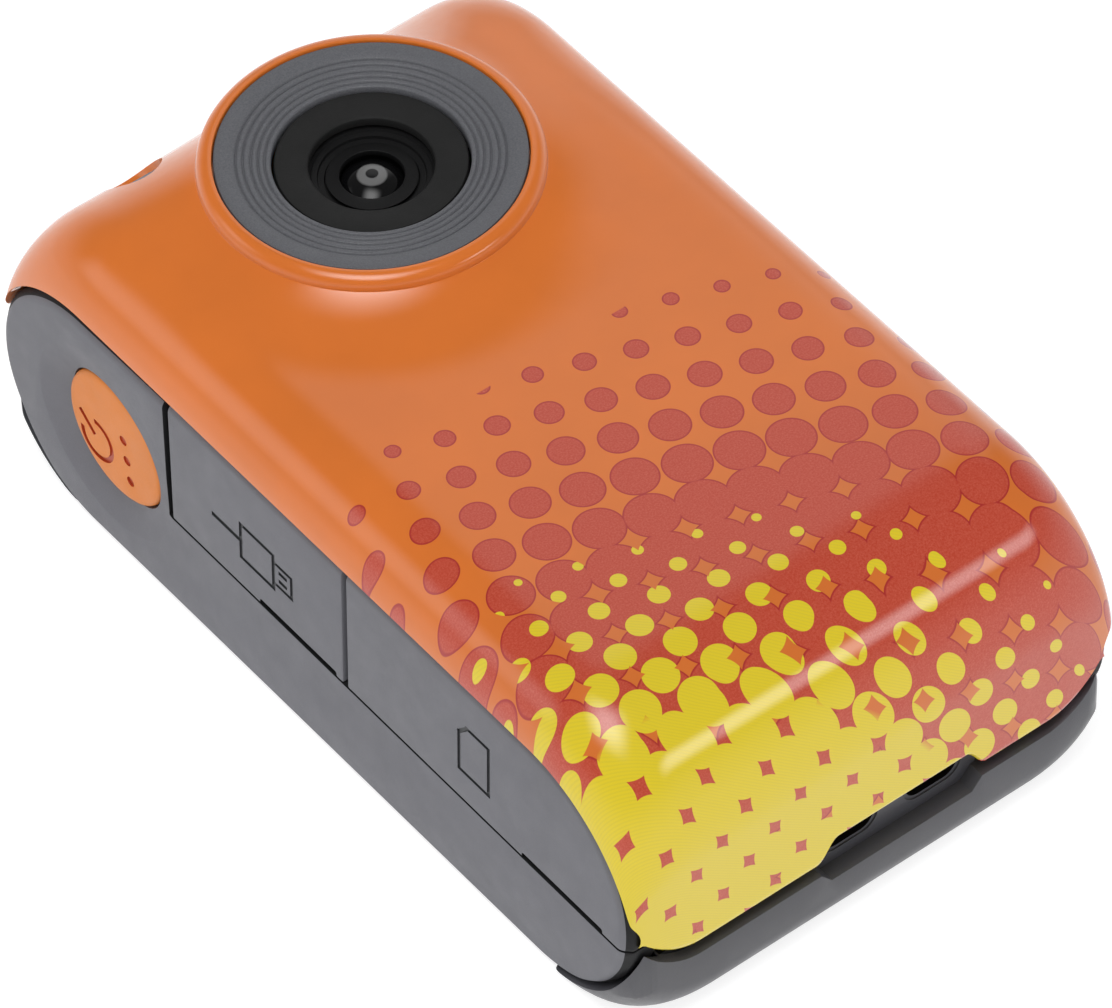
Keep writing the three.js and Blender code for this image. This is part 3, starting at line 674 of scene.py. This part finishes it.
class FrontSkin:
    """The front shell's points: a grid over the whole form, with rings of points round the lens."""

    CORE_STEP = 0.3
    SIDE_COUNT = 18  # columns over each rounded long edge
    EDGE = 0.16  # size of the softened edges
    FOOT_RINGS = 26  # from the collar's foot to the block's border

    def __init__(self):
        self.core = np.linspace(-FRONT_FLAT, FRONT_FLAT, int(2 * FRONT_FLAT / self.CORE_STEP) + 1)
        self.v = self.row_values()
        self.left = self.SIDE_COUNT + 2
        self.right = self.left + len(self.core) - 1
        self.columns = self.left + self.right + 1

    def row_values(self):
        """Rows of v, with one row exactly at each border of the block round the lens."""
        run = PANEL_Y + PANEL_R + END_BULGE - END_R
        low = 2 + (LENS_Y - FILLET_W - COLLAR_R + run) / (2 * run)
        high = 3 + math.acos(0.86) / (math.pi / 2)
        edges = (0, 1, 2, low, 3, high, 4, 5)
        counts = (30, 44, 74, 84, 14, 36, 30)
        parts = [np.linspace(a, b, n + 1)[:-1] for a, b, n in zip(edges, edges[1:], counts)]
        v = np.concatenate([*parts, [5.0]])
        self.block_rows = [int(np.argmin(np.abs(v - edge))) for edge in (low, high)]
        return v

    def layer(self, inset):
        """Every grid node's (x, y, z) and film coordinates, for the outer skin or an inner one."""
        rows = len(self.v)
        v = np.repeat(self.v[:, None], self.columns, 1)
        low = np.full(rows, SHELL_Z + CORNER_RISE)
        edge = seam_x(self.v, low)
        turn = np.arcsin((edge - FRONT_FLAT) / FRONT_ROUND)
        k = np.arange(1, self.SIDE_COUNT + 1) / self.SIDE_COUNT
        outer = FRONT_FLAT + FRONT_ROUND * np.sin(turn[:, None] * np.clip(k * 1.02, 0, 1) * 0.985)
        wall = np.stack([edge - self.EDGE, np.full(rows, SEAT_X)], 1)
        side = np.concatenate([outer, wall], 1)
        if inset:
            reach = (np.arange(side.shape[1]) + 1) / side.shape[1]
            side = np.repeat((FRONT_FLAT + (SEAT_X - 0.05 - FRONT_FLAT) * reach)[None], rows, 0)
        x = np.concatenate([-side[:, ::-1], np.repeat(self.core[None], rows, 0), side], 1)
        low_z = strap_notch(x) * np.ones_like(v)
        low_z = np.where(v < 2.5, low_z, SHELL_Z + corner_rise(x))
        y, z, flat_y = skin_point(x, v, low_z, inset)
        if not inset:
            self.fold_walls(x, y, z, edge)
            self.chamfer_rows(y, z, low_z)
            lift = np.sin(np.clip(np.minimum(v, 5 - v) - 1, 0, 1) * np.pi / 2) ** 2
            flare = foot_flare(x, y, np.where(v > 2.4, lift, 0))
            flare[:, :2] = 0
            flare[:, -2:] = 0
            z = z + flare
        return np.stack([x, y, z], -1), np.stack([x, flat_y], -1)

    def fold_walls(self, x, y, z, edge):
        """Turns the last two columns on each side in, along the wall of the panel's seat."""
        edge_y, edge_z, _ = skin_point(edge, self.v, np.full(len(self.v), SHELL_Z + CORNER_RISE))
        for column in (0, 1, -2, -1):
            y[:, column] = edge_y
            z[:, column] = edge_z

    def chamfer_rows(self, y, z, low_z):
        """Softens the lower edges: the end rows move in, and their neighbours up."""
        for row, neighbour, side in ((0, 1, -1), (-1, -2, 1)):
            y[row] -= side * self.EDGE
            z[neighbour] = np.maximum(z[neighbour], low_z[neighbour] + self.EDGE)

    def rings(self, grid, flat, inset):
        """Rings of points from the collar's mouth out to the border of the block."""
        border = self.border()
        points = grid.reshape(-1, 3)[border]
        away = points[:, :2] - (0, LENS_Y)
        distance = np.linalg.norm(away, axis=1)
        ahead = away / distance[:, None]
        drop = END_R - inset
        run = HALF_LENGTH - END_R

        def on_front(xy):
            """Height of the front, with the collar's foot on the outer skin only."""
            past = np.clip(xy[:, 1] - run, 0, drop)
            base = THICKNESS - END_R + np.sqrt(drop**2 - past**2)
            if inset:
                return base
            return base + foot_flare(xy[:, 0], xy[:, 1], 1 - (past / drop) ** 2)

        made = []
        shares = (np.arange(1, self.FOOT_RINGS) / self.FOOT_RINGS) ** 2
        if inset:
            start = COLLAR_PROFILE[0][0]
            count = len(COLLAR_PROFILE) + 3 + len(shares)
            for share in np.arange(count) / count:
                xy = ahead * mix(start, distance, share)[:, None] + (0, LENS_Y)
                made.append(np.column_stack([xy, on_front(xy)]))
            return made
        for r, z in COLLAR_PROFILE:
            made.append(np.column_stack([ahead * r + (0, LENS_Y), np.full(len(ahead), z)]))
        foot = ahead * COLLAR_R + (0, LENS_Y)
        for share in (0.33, 0.67, 1.0):
            made.append(np.column_stack([foot, mix(COLLAR_PROFILE[-1][1], on_front(foot), share)]))
        for share in shares:
            xy = ahead * mix(COLLAR_R, distance, share)[:, None] + (0, LENS_Y)
            made.append(np.column_stack([xy, on_front(xy)]))
        return made

    def border(self):
        """Grid indices round the block's edge, in order."""
        (first, last), left, right = self.block_rows, self.left, self.right
        index = np.arange(len(self.v) * self.columns).reshape(len(self.v), self.columns)
        parts = [index[first, left:right], index[first:last, right]]
        parts += [index[last, right:left:-1], index[last:first:-1, left]]
        return np.concatenate(parts)

    def build(self):
        """(points, faces, film coordinates) of the closed shell."""
        layers, films, faces = [], [], None
        for inset in (0.0, SHELL_WALL):
            grid, flat = self.layer(inset)
            rings = self.rings(grid, flat, inset)
            layers += [grid.reshape(-1, 3), *rings]
            films += [flat.reshape(-1, 2), *[ring[:, :2] for ring in rings]]
            if faces is None:
                faces = self.faces(len(rings))
                size = sum(len(part) for part in layers)
        skin = np.array(faces)
        inner = skin[:, ::-1] + size
        faces = [*faces, *inner.tolist(), *rim_faces(skin, size)]
        return np.concatenate(layers), faces, np.concatenate(films)

    def faces(self, ring_count):
        (first, last), left, right = self.block_rows, self.left, self.right
        quads = np.array(grid_faces(len(self.v), self.columns))
        row, column = np.divmod(quads[:, 0], self.columns)
        inside = (row >= first) & (row < last) & (column >= left) & (column < right)
        quads = quads[~inside]
        border = self.border()
        count = len(border)
        start = len(self.v) * self.columns
        loops = [start + k * count + np.arange(count) for k in range(ring_count)] + [border]
        rings = [
            np.stack([a, np.roll(a, -1), np.roll(b, -1), b], -1)[:, ::-1] for a, b in zip(loops, loops[1:])
        ]
        return np.concatenate([quads, *rings]).tolist()


def rim_faces(skin, size):
    """Quads that join the open borders of a skin to those of its inner copy."""
    ahead = np.concatenate([skin[:, [k, (k + 1) % 4]] for k in range(4)])
    seen = {(a, b) for a, b in ahead.tolist()}
    return [[b, a, a + size, b + size] for a, b in seen if (b, a) not in seen]


def front_shell():
    points, faces, film = FrontSkin().build()
    uv = film / PRINT_SCALE
    shell = add_piece("front_shell_skin", (points, faces), FILM, "orange_shell", "front_shell", uv=uv)
    hole = rod(SHUTTER_HOLE_R, SHUTTER_HOLE_BACK, 40, shutter_centre(), "y", 96)
    carve(shell, cutter(hole))


def shutter_centre():
    """Centre (z, x) of the shutter button's cap."""
    low, high = box_mm("shutter_button")
    return (low[2] + high[2]) / 2 + SHUTTER_UP, (low[0] + high[0]) / 2 - SHUTTER_OUT


# ---------- the case ----------
def body_form(inset, reach, stations=61, steps=20):
    """A closed solid of the body's outer form, or of one inset from it, out to +-reach along X."""
    ease = np.sin(np.linspace(-np.pi / 2, np.pi / 2, stations))
    rings = []
    for x in ease * reach:
        half, top, bottom, front_r, rear_r = (float(value) for value in section(x, inset))
        rings.append(to_axis(*np.concatenate([
            arc((half - front_r, top - front_r), front_r, 0, 90, steps),
            arc((front_r - half, top - front_r), front_r, 90, 180, steps),
            arc((rear_r - half, bottom + rear_r), rear_r, 180, 270, steps),
            arc((half - rear_r, bottom + rear_r), rear_r, 270, 360, steps),
        ]).T, x, "x"))
    return np.concatenate(rings), tube_faces(stations, len(rings[0]))


def seats():
    """Cutters for the recesses of both side panels."""
    for side in (-1, 1):
        ends = sorted([side * SEAT_X, side * (SIDE_X + 5)])
        yield cutter(slab(stadium(SEAT_GAP), ends[0], ends[1], "x"))


def keyed_holes():
    """Cutters for the round holes in the back: keys, screws, speaker and microphone."""
    outer, inner = KEY_R + 0.45, KEY_R + 0.2
    for name in ("menu_key", "up_key", "down_key"):
        yield cutter(turned([(outer, -1), (outer, 0.05), (inner, 0.3), (inner, 3)], centre_xy(name)))
    for k in range(4):
        centre = centre_xy(f"case_screw_{k + 1}")
        yield cutter(turned([(2.35, -1), (2.35, 0.05), (2.1, 0.3), (2.1, 1.3)], centre))
        yield cutter(rod(1.05, -1, 8, centre, sides=32))
    middle = centre_xy("speaker") + (0, 0.2)
    turns = [k * math.pi / 3 for k in range(6)]
    ring = [middle + 2.4 * np.array([math.cos(turn), math.sin(turn)]) for turn in turns]
    for place in [middle, *ring]:
        yield cutter(turned([(0.85, -1), (0.85, 0.02), (0.7, 0.2), (0.7, 3)], place, sides=40))
    yield cutter(rod(0.5, -1, 3, centre_xy("microphone"), sides=32))


def screen_outline(offset, r):
    low, high = box_mm("screen_window")
    return rounded_rectangle(low[0] - offset, high[0] + offset, low[1] - offset, high[1] + offset, r)


def window_cutter():
    """The strap window with slanting shoulders, seen from the lower end as an outline in (z, x)."""
    low, high = STRAP_X - STRAP_W / 2, STRAP_X + STRAP_W / 2
    outline = [(STRAP_BOTTOM, high - 0.4), (STRAP_BOTTOM, low + 0.4), (RIM_Z + 0.2, low - 0.7)]
    outline += [(12, low - 0.7), (12, high + 0.7), (RIM_Z + 0.2, high + 0.7)]
    return cutter(slab(np.array(outline)[::-1], -40, -34.8, "y"))


def rear_cover():
    cover = add_piece("rear_cover_shell", body_form(0, SIDE_X), CASE, "dark_case", "rear_cover")
    across = np.linspace(-SIDE_X - 1, SIDE_X + 1, 80)
    rim = np.stack([RIM_Z + corner_rise(across), across], -1)
    below = np.array([(-5, SIDE_X + 1), (-5, -SIDE_X - 1)])
    under_rim = slab(np.concatenate([rim, below]), -OUTSIDE, OUTSIDE, "y")
    carve(cover, cutter(under_rim), operation="INTERSECT")
    plan = rounded_rectangle(-SIDE_X, SIDE_X, -HALF_LENGTH, HALF_LENGTH, 3.0)
    carve(cover, cutter(slab(plan, -5, 20, "z")), operation="INTERSECT")
    carve(cover, *seats(), cutter(body_form(1.6, 17.3)), window_cutter())
    soften(cover, 0.22, 55)
    recess = prism(screen_outline(0.35, 1.8), [(0, -1), (0, 0.03), (0.15, 0.2), (0.15, 1.1)], "z")
    opening = slab(screen_outline(-2, 0.8), -1, 3, "z")
    carve(cover, cutter(recess), cutter(opening), *keyed_holes())


def gasket():
    """The black seal that shows in the groove between the shells."""
    end = HALF_LENGTH - 0.95
    outline = rounded_rectangle(-20.3, 20.3, -end, end, 1.2)
    strip = slab(outline, RIM_Z + 0.05, SHELL_Z - 0.05, "z")
    seal = add_piece("groove_seal", strip, BLACK, "black_plastic", "shell_gasket")
    x, y = np.abs(centre_xy("case_screw_4"))
    corners = [(sx * x, sy * y) for sx in (-1, 1) for sy in (-1, 1)]
    carve(
        seal, *seats(), cutter(block((-17.4, 0.8 - end, 0), (17.4, end - 0.8, 20))),
        cutter(block((STRAP_LOW[0] - 0.2, -40, 0), (STRAP_HIGH[0] + 0.2, -30, 20))),
        *(cutter(rod(2.5, 0, 20, corner, sides=32)) for corner in corners),
    )


def strap_anchor():
    """Insert with two rounded pockets either side of a post, for a wrist cord."""
    middle_z = (STRAP_BOTTOM + 10.4) / 2
    outline = rounded_rectangle(3.6, 10.6, STRAP_LOW[0] + 0.1, STRAP_HIGH[0] - 0.1, 0.4, 3)
    profile = [(0.25, -35.3), (0.06, -35.22), (0, -35.05), (0, STRAP_HIGH[1])]
    anchor = add_piece("strap_post", prism(outline, profile, "y"), CASE, "dark_case", "strap_anchor")
    for side in (-1, 1):
        x = STRAP_X + side * 3.75
        rim = rounded_rectangle(middle_z - 1.7, middle_z + 1.7, x - 2.6, x + 2.6, 1.4)
        mouth = rounded_rectangle(middle_z - 1.45, middle_z + 1.45, x - 2.3, x + 2.3, 1.2)
        carve(anchor, cutter(slab(rim, -36, -35.18, "y")))
        # Painted shade: the pockets' walls are black, as the deep pockets look.
        carve(anchor, cutter(slab(mouth, -36, -32.8, "y"), BLACK))


# ---------- side panels, flaps and the power button ----------
PLATE_EDGE = [(0, PANEL_BACK_X), (0, 20.86), (0.05, 21.02), (0.42, 21.40), (0.62, 21.54), (0.78, 21.61)]
PLATE_EDGE += [(0.98, SIDE_X)]
SHADED_BANDS = 3  # bands of the edge, counted from the back, that are painted near black as the shade of the seam round the panel


def plate(name, side, stands_for, body="camera_body"):
    """A side panel's full outline, its edge bevelled less along the bottom."""
    profile = [(inset, side * x) for inset, x in PLATE_EDGE]
    outline = stadium()
    share = mix(0.25, 1.0, np.clip((outline[:, 1] - 1.5) / 4.0, 0, 1))[:, None]
    solid = prism(outline, profile, "x", share)
    piece = add_piece(name, solid, PANEL, "grey_panel", stands_for, body=body)
    # Painted shade: the edge's back bands are coloured near black, as the seam round the panel looks.
    piece.data.materials.append(PANEL_SEAM_SHADE)
    for band in range(SHADED_BANDS):
        for face in range(band * len(outline), (band + 1) * len(outline)):
            piece.data.polygons[face].material_index = 1
    return piece


def lean(piece):
    """Tilts the outer face inwards a little above and below the crease at the flaps' lower edge."""
    co = np.zeros(len(piece.data.vertices) * 3)
    piece.data.vertices.foreach_get("co", co)
    co = co.reshape(-1, 3) / MM
    share = np.clip((-co[:, 0] - 20.2) / 0.6, 0, 1) * np.clip((17.5 - co[:, 1]) / 3.0, 0, 1)
    co[:, 0] += share * CREASE_LEAN * np.abs(co[:, 2] - FLAP_Z)
    piece.data.vertices.foreach_set("co", (co * MM).astype(np.float32).ravel())
    piece.data.update()


def scoop():
    """The dish round the power button: deep towards the panel's round end, flush at the flap."""
    button_y, button_z, button_r = power_centre()
    sides = 160
    turn = np.arange(sides) * 2 * np.pi / sides
    ahead = np.stack([np.cos(turn), np.sin(turn)], -1)
    offset = ahead @ SCOOP_SHIFT
    reach = offset + np.sqrt(SCOOP_R**2 - ((SCOOP_SHIFT**2).sum() - offset**2))
    depth = SCOOP_DEPTH * (0.5 + 0.5 * np.cos(turn + math.radians(42))) ** 1.3 + 0.03

    def ring(share, x):
        radius = mix(button_r - 0.1, reach, share)
        return to_axis(button_y + radius * ahead[:, 0], button_z + radius * ahead[:, 1], x, "x")

    rings = []
    for share in np.linspace(0, 1.15, 20):
        fall = depth * np.cos(np.minimum(share, 1) * np.pi / 2) ** 1.2 - max(share - 1, 0) * 1.5
        rings.append(ring(share, fall - SIDE_X))
    rings += [ring(share, -SIDE_X - 2) for share in (1.15, 0.0)]
    return cutter((np.concatenate(rings), tube_faces(len(rings), sides, looped=True)))


def power_centre():
    """Centre (y, z) and radius of the power button's cap."""
    low, high = box_mm("power_button")
    radius = (high[1] - low[1]) / 2
    return (low[1] + high[1]) / 2, high[2] - radius, radius


def port_openings():
    """Cutters for the openings behind the flaps."""
    for port, r in ((USB_PORT, 0.4), (CARD_PORT, 0.3)):
        yield cutter(slab(rounded_rectangle(*port, r), -OUTSIDE, -15, "x"))


def right_panel():
    plate("right_panel", 1, "right_side_panel")


def left_panel():
    seam = box_mm("usb_flap")[1][1] + 0.5
    y, z, r = power_centre()
    panel = plate("left_panel", -1, "left_side_panel")
    flap_seat = block((-OUTSIDE, -OUTSIDE, FLAP_Z), (-19.9, seam, OUTSIDE))
    # Painted shade: the flap seat's cut walls take the near-black seam colour, so the seams beside the
    # flaps look dark.
    carve(panel, cutter(flap_seat, PANEL_SEAM_SHADE))
    soften(panel, 0.14, 60)
    hole = rod(r + 0.16, -OUTSIDE, -19.4, (y, z), "x", 128)
    carve(panel, scoop())
    carve(panel, cutter(hole), *port_openings())
    lean(panel)


def flap(name, body, y_range, slit):
    """A port flap: the panel's upper strip between two seams, with a nail slit at its free end."""
    piece = plate(name + "_door", -1, name, body)
    low, high = y_range
    strip = block((-OUTSIDE, low, FLAP_Z + 0.12), (-20.2, high, OUTSIDE))
    carve(piece, cutter(strip), operation="INTERSECT")
    soften(piece, 0.16, 60)
    nail = rounded_rectangle(slit[0], slit[1], FLAP_Z - 0.3, FLAP_Z + 0.62, 0.2, 3)
    # Painted shade: the nail slit's walls are black, as the shaded slit looks.
    carve(piece, cutter(slab(nail, -OUTSIDE, -SIDE_X + 0.75, "x"), BLACK))
    return piece


def engrave(piece, outlines, depth, material, face=SIDE_X):
    carve(piece, *(cutter(slab(outline, -OUTSIDE, depth - face, "x"), material) for outline in outlines))


def loop_strokes(corners, width):
    return [stroke(a, b, width) for a, b in zip(corners, corners[1:] + corners[:1])]


def usb_flap():
    low, high = box_mm("usb_flap")
    piece = flap("usb_flap", "usb_flap_body", (low[1], high[1]), (-3.5, 5.4))
    middle = np.array([6.3, 14.2])

    def frame_of(left, right, half):
        return [middle + corner for corner in ((left, -half), (right, -half), (right, half), (left, half))]

    cable = stroke(middle + (1.2, 0), middle + (4.4, 0), 0.42)
    pins = [stroke(middle + (-4.0, side), middle + (-3.4, side), 0.36) for side in (-0.42, 0.42)]
    body, tip = frame_of(-2.6, 1.2, 1.7), frame_of(-4.7, -2.6, 1.05)
    engrave(piece, [*loop_strokes(body, 0.36), *loop_strokes(tip, 0.32), cable, *pins], 0.14, MARK)
    lean(piece)


def card_flap():
    low, high = box_mm("card_flap")
    piece = flap("card_flap", "card_flap_body", (low[1] - 1, high[1]), (-33.4, -24.5))
    card = [(-20.8, 12.5), (-17.5, 12.5), (-17.5, 16.3), (-18.4, 17.3), (-20.8, 17.3)]
    engrave(piece, loop_strokes([np.array(corner) for corner in card], 0.34), 0.14, MARK)
    lean(piece)


def power_button():
    y, z, r = power_centre()
    face = -box_mm("power_button")[0][0]
    profile = [(r, -20.0), (r, 0.45 - face), (r - 0.1, 0.2 - face), (r - 0.32, 0.05 - face)]
    profile += [(r - 0.7, -face), (r * 0.5, 0.06 - face), (0.2, 0.09 - face)]
    solid = turned(profile, (y, z), "x")
    piece = add_piece("power_cap", solid, BUTTON, "orange_button", "power_button", body="power_button_body")
    symbol = np.array([25.2, 9.6])
    opening = math.degrees(math.atan2(1.5, 1.6))
    outer, inner = (arc(symbol, radius, opening + 38, opening + 322, 40) for radius in (1.95, 1.5))
    bar = stroke(symbol + (0.45, 0.42), symbol + (1.75, 1.62), 0.46)
    dots = [circle((21.9 - 0.3 * k, 12.2 - 1.9 * k), 0.42, 24) for k in range(3)]
    # The symbol's darker colour is painted shade in its engraved lines.
    engrave(piece, [np.concatenate([outer, inner[::-1]]), bar, *dots], 0.2, BUTTON_MARK_SHADE, face)


# ---------- lens ----------
def lens_ring(name, profile, material, slot, node):
    add_piece(name, turned(profile, (0, LENS_Y), closed=True, sides=200), material, slot, node)


def trim_ring():
    inner, inner_z = 7.12, 28.95
    rim_z = LIP_Z - 0.1

    def cone(r):
        return mix(inner_z, rim_z, (r - inner) / (RING_R - inner))

    profile = [(inner, 28.0), (inner, inner_z - 0.1)]
    profile += [(inner + 0.06, inner_z - 0.02), (inner + 0.14, inner_z + 0.01)]
    for groove in (7.55, 8.03, 8.53, 9.1, 9.62):
        for offset, drop in ((-0.17, 0), (-0.1, 0.04), (-0.03, 0.15), (0.03, 0.15), (0.1, 0.04), (0.17, 0)):
            profile.append((groove + offset, cone(groove + offset) - drop))
    profile += [(10.4, cone(10.4)), (RING_R - 0.14, rim_z), (RING_R - 0.04, rim_z - 0.04)]
    profile += [(RING_R, rim_z - 0.14), (RING_R, 27.5), (8.5, 27.5), (8.5, 28.0)]
    lens_ring("trim_ring", profile, RING, "grey_ring", "lens_trim_ring")


def lens_stack():
    bezel = [
        (4.5, 27.7), (4.5, 28.32), (4.56, 28.4), (4.68, 28.44), (5.6, 28.56), (6.7, 28.66),
        (6.86, 28.64), (6.95, 28.5), (6.95, 25.0), (6.3, 25.0), (6.3, 27.7),
    ]
    lens_ring("bezel_ring", bezel, MATT_BLACK, "black_plastic", "lens_bezel")
    barrel = [
        (2.62, 26.6), (2.75, 26.75), (3.35, 26.8), (3.42, 26.95), (3.85, 27.0), (3.92, 27.2), (4.3, 27.26),
        (4.4, 27.45), (6.0, 27.5), (6.0, 17.2), (3.4, 17.2), (3.4, 23.5), (2.62, 23.5),
    ]
    lens_ring("barrel_tube", barrel, BLACK, "black_plastic", "lens_barrel")
    collar = [
        (2.32, 26.9), (2.32, 27.2), (2.36, 27.3), (2.41, 27.32), (2.46, 27.3),
        (2.9, 27.22), (3.3, 27.15), (3.3, 27.05), (2.65, 26.9),
    ]
    lens_ring("retaining_collar", collar, BLACK, "black_metal", "lens_retaining_ring")
    top, sphere = 27.45, 3.4
    angles = np.linspace(0.7, 0.02, 24)
    dome = [(2.25, 24.2), (2.25, 26.6)]
    dome += [(sphere * math.sin(a), top - sphere + sphere * math.cos(a)) for a in angles]
    solid = turned(dome, (0, LENS_Y))
    add_piece("front_lens", solid, front_glass(), "lens_glass", "lens_front_element")


# ---------- buttons, screen and screws ----------

def shutter_button():
    low = box_mm("shutter_button")[0]
    solid = rod(SHUTTER_R, min(low[1], SHUTTER_BACK), HALF_LENGTH, shutter_centre(), "y", 96)
    cap = add_piece(
        "shutter_cap", solid, PANEL, "grey_panel", "shutter_button", body="shutter_button_body"
    )
    carve(cap, cutter(body_form(0.45, SIDE_X)), operation="INTERSECT")
    soften(cap, 0.25, 40, 3)


def rear_keys():
    for name in ("menu_key", "up_key", "down_key"):
        low, high = box_mm(name)
        face = low[2]
        profile = [(0.2, face + 0.12), (1.5, face + 0.1), (2.2, face), (2.45, face + 0.04)]
        profile += [(KEY_R, face + 0.3), (KEY_R, 1.6), (KEY_R + 0.6, 1.65), (KEY_R + 0.6, high[2])]
        solid = turned(profile, centre_xy(name))
        add_piece(name + "_cap", solid, BUTTON, "orange_button", name, body=name + "_body")


def screen_window():
    low, high = box_mm("screen_window")
    profile = [(0.25, low[2]), (0.07, low[2] + 0.05), (0, low[2] + 0.2), (0, high[2])]
    solid = prism(screen_outline(0, 1.5), profile, "z")
    add_piece("screen_pane", solid, SCREEN, "screen_glass", "screen_window")


def case_screws():
    for k in range(4):
        name = f"case_screw_{k + 1}"
        low, high = box_mm(name)
        x, y = centre_xy(name)
        face = low[2]
        profile = [(0.2, face), (1.5, face + 0.02), (1.75, face + 0.12), (1.85, face + 0.32)]
        profile += [(1.85, 1.15), (0.8, 1.2), (0.8, high[2])]
        screw = add_piece(name + "_head", turned(profile, (x, y), sides=64), SCREW, "screw_steel", name)
        for dx, dy in ((1.25, 0.2), (0.2, 1.25)):
            carve(screw, cutter(block((x - dx, y - dy, -1), (x + dx, y + dy, 0.62))))


def finish_inner_nodes():
    """Materials of the CAD nodes that are shown as they are."""
    inner = {
        CHIP: ["processor", "image_sensor"],
        BLACK: ["lens_holder", "speaker", "lcd_module"],
        GLASS: ["lens_rear_element", "ir_filter"],
        BOARD: ["main_board", "shutter_board", "key_board"],
        TIN: ["usb_socket", "card_socket", "power_switch", "shutter_switch", "microphone"]
        + [key + "_key_switch" for key in ("menu", "up", "down")],
        SCREW: ["board_screw_1", "board_screw_2"],
        FOIL: ["battery"],
    }
    for material, names in inner.items():
        for name in names:
            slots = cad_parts[name].data.materials
            slots.clear()
            slots.append(material)


# ---------- camera, floor and light ----------
AZIMUTH, ELEVATION, ROLL = (math.radians(angle) for angle in (-37.04, 48.09, -1.60))
EYE = Vector((-251.81, -334.53, 475.84)) * MM


def add_camera():
    back = Vector((
        math.sin(AZIMUTH) * math.cos(ELEVATION),
        -math.cos(AZIMUTH) * math.cos(ELEVATION),
        math.sin(ELEVATION),
    ))
    level = Vector((math.cos(AZIMUTH), math.sin(AZIMUTH), 0))
    rise = back.cross(level)
    right = math.cos(ROLL) * level + math.sin(ROLL) * rise
    up = math.cos(ROLL) * rise - math.sin(ROLL) * level
    data = bpy.data.cameras.new("view")
    data.sensor_width = 36
    data.sensor_fit = "HORIZONTAL"
    data.lens = 285.1
    data.clip_start, data.clip_end = 0.01, 20
    camera = put("view", data)
    camera.matrix_world = Matrix.Translation(EYE) @ Matrix((right, up, back)).transposed().to_4x4()
    SCENE.camera = camera


def add_floor():
    reach = 3000
    finish = Finish("paper", Roughness=0.9, Specular_IOR_Level=0.1, Emission_Strength=0.8)
    finish.base(finish.tint(colour(170, 170, 170), 0.01, 3))
    solid = block((-reach, -reach, -1.0), (reach, reach, -0.05))
    floor = put("floor", new_mesh("floor", *solid, finish.material))


def add_softbox(name, place, width, height, power, edge=0.45):
    """A rectangular area light, place in metres, that faces the object and fades towards its rim."""
    data = bpy.data.lights.new(name, "AREA")
    data.shape = "RECTANGLE"
    data.size, data.size_y = width, height
    data.energy = power
    data.use_nodes = True
    nodes = Nodes(data.node_tree)
    fades = [
        nodes.ramp(nodes.math("PINGPONG", axis, 0.5), 0.0, edge, interpolation_type="SMOOTHSTEP")
        for axis in nodes.split(nodes.add("NewGeometry", out="Parametric"))[:2]
    ]
    nodes.join(nodes.math("MULTIPLY", *fades), nodes.tree.nodes["Emission"].inputs["Strength"])
    light = put(name, data)
    light.location = place
    light.rotation_mode = "QUATERNION"
    light.rotation_quaternion = (-Vector(place)).to_track_quat("-Z", "Y")


def add_world():
    """A tent that is bright at the level of the floor and darker overhead."""
    world = bpy.data.worlds.new("tent")
    world.use_nodes = True
    nodes = Nodes(world.node_tree)
    up = nodes.split(nodes.add("TexCoord", out="Generated"))[2]
    strength = nodes.ramp(up, 0.0, 0.5, 0.95, 0.22, interpolation_type="SMOOTHSTEP")
    background = nodes.tree.nodes["Background"]
    nodes.join(strength, background.inputs["Strength"])
    background.inputs["Color"].default_value = (1, 1, 1, 1)
    SCENE.world = world


def add_lights():
    add_world()
    add_softbox("top", (-0.20, -0.16, 0.78), 0.75, 0.75, 12.0)
    add_softbox("back_wall", (0.62, 0.60, 0.66), 1.1, 1.1, 3.0, edge=0.35)
    add_softbox("back_left", (-0.60, 0.50, 0.42), 0.70, 0.60, 2.0)
    add_softbox("front_right", (0.42, -0.74, 0.50), 0.60, 0.26, 2.4)


add_camera()
add_floor()
add_lights()
front_shell()
rear_cover()
gasket()
strap_anchor()
right_panel()
left_panel()
usb_flap()
card_flap()
power_button()
trim_ring()
lens_stack()
shutter_button()
rear_keys()
screen_window()
case_screws()
finish_inner_nodes()
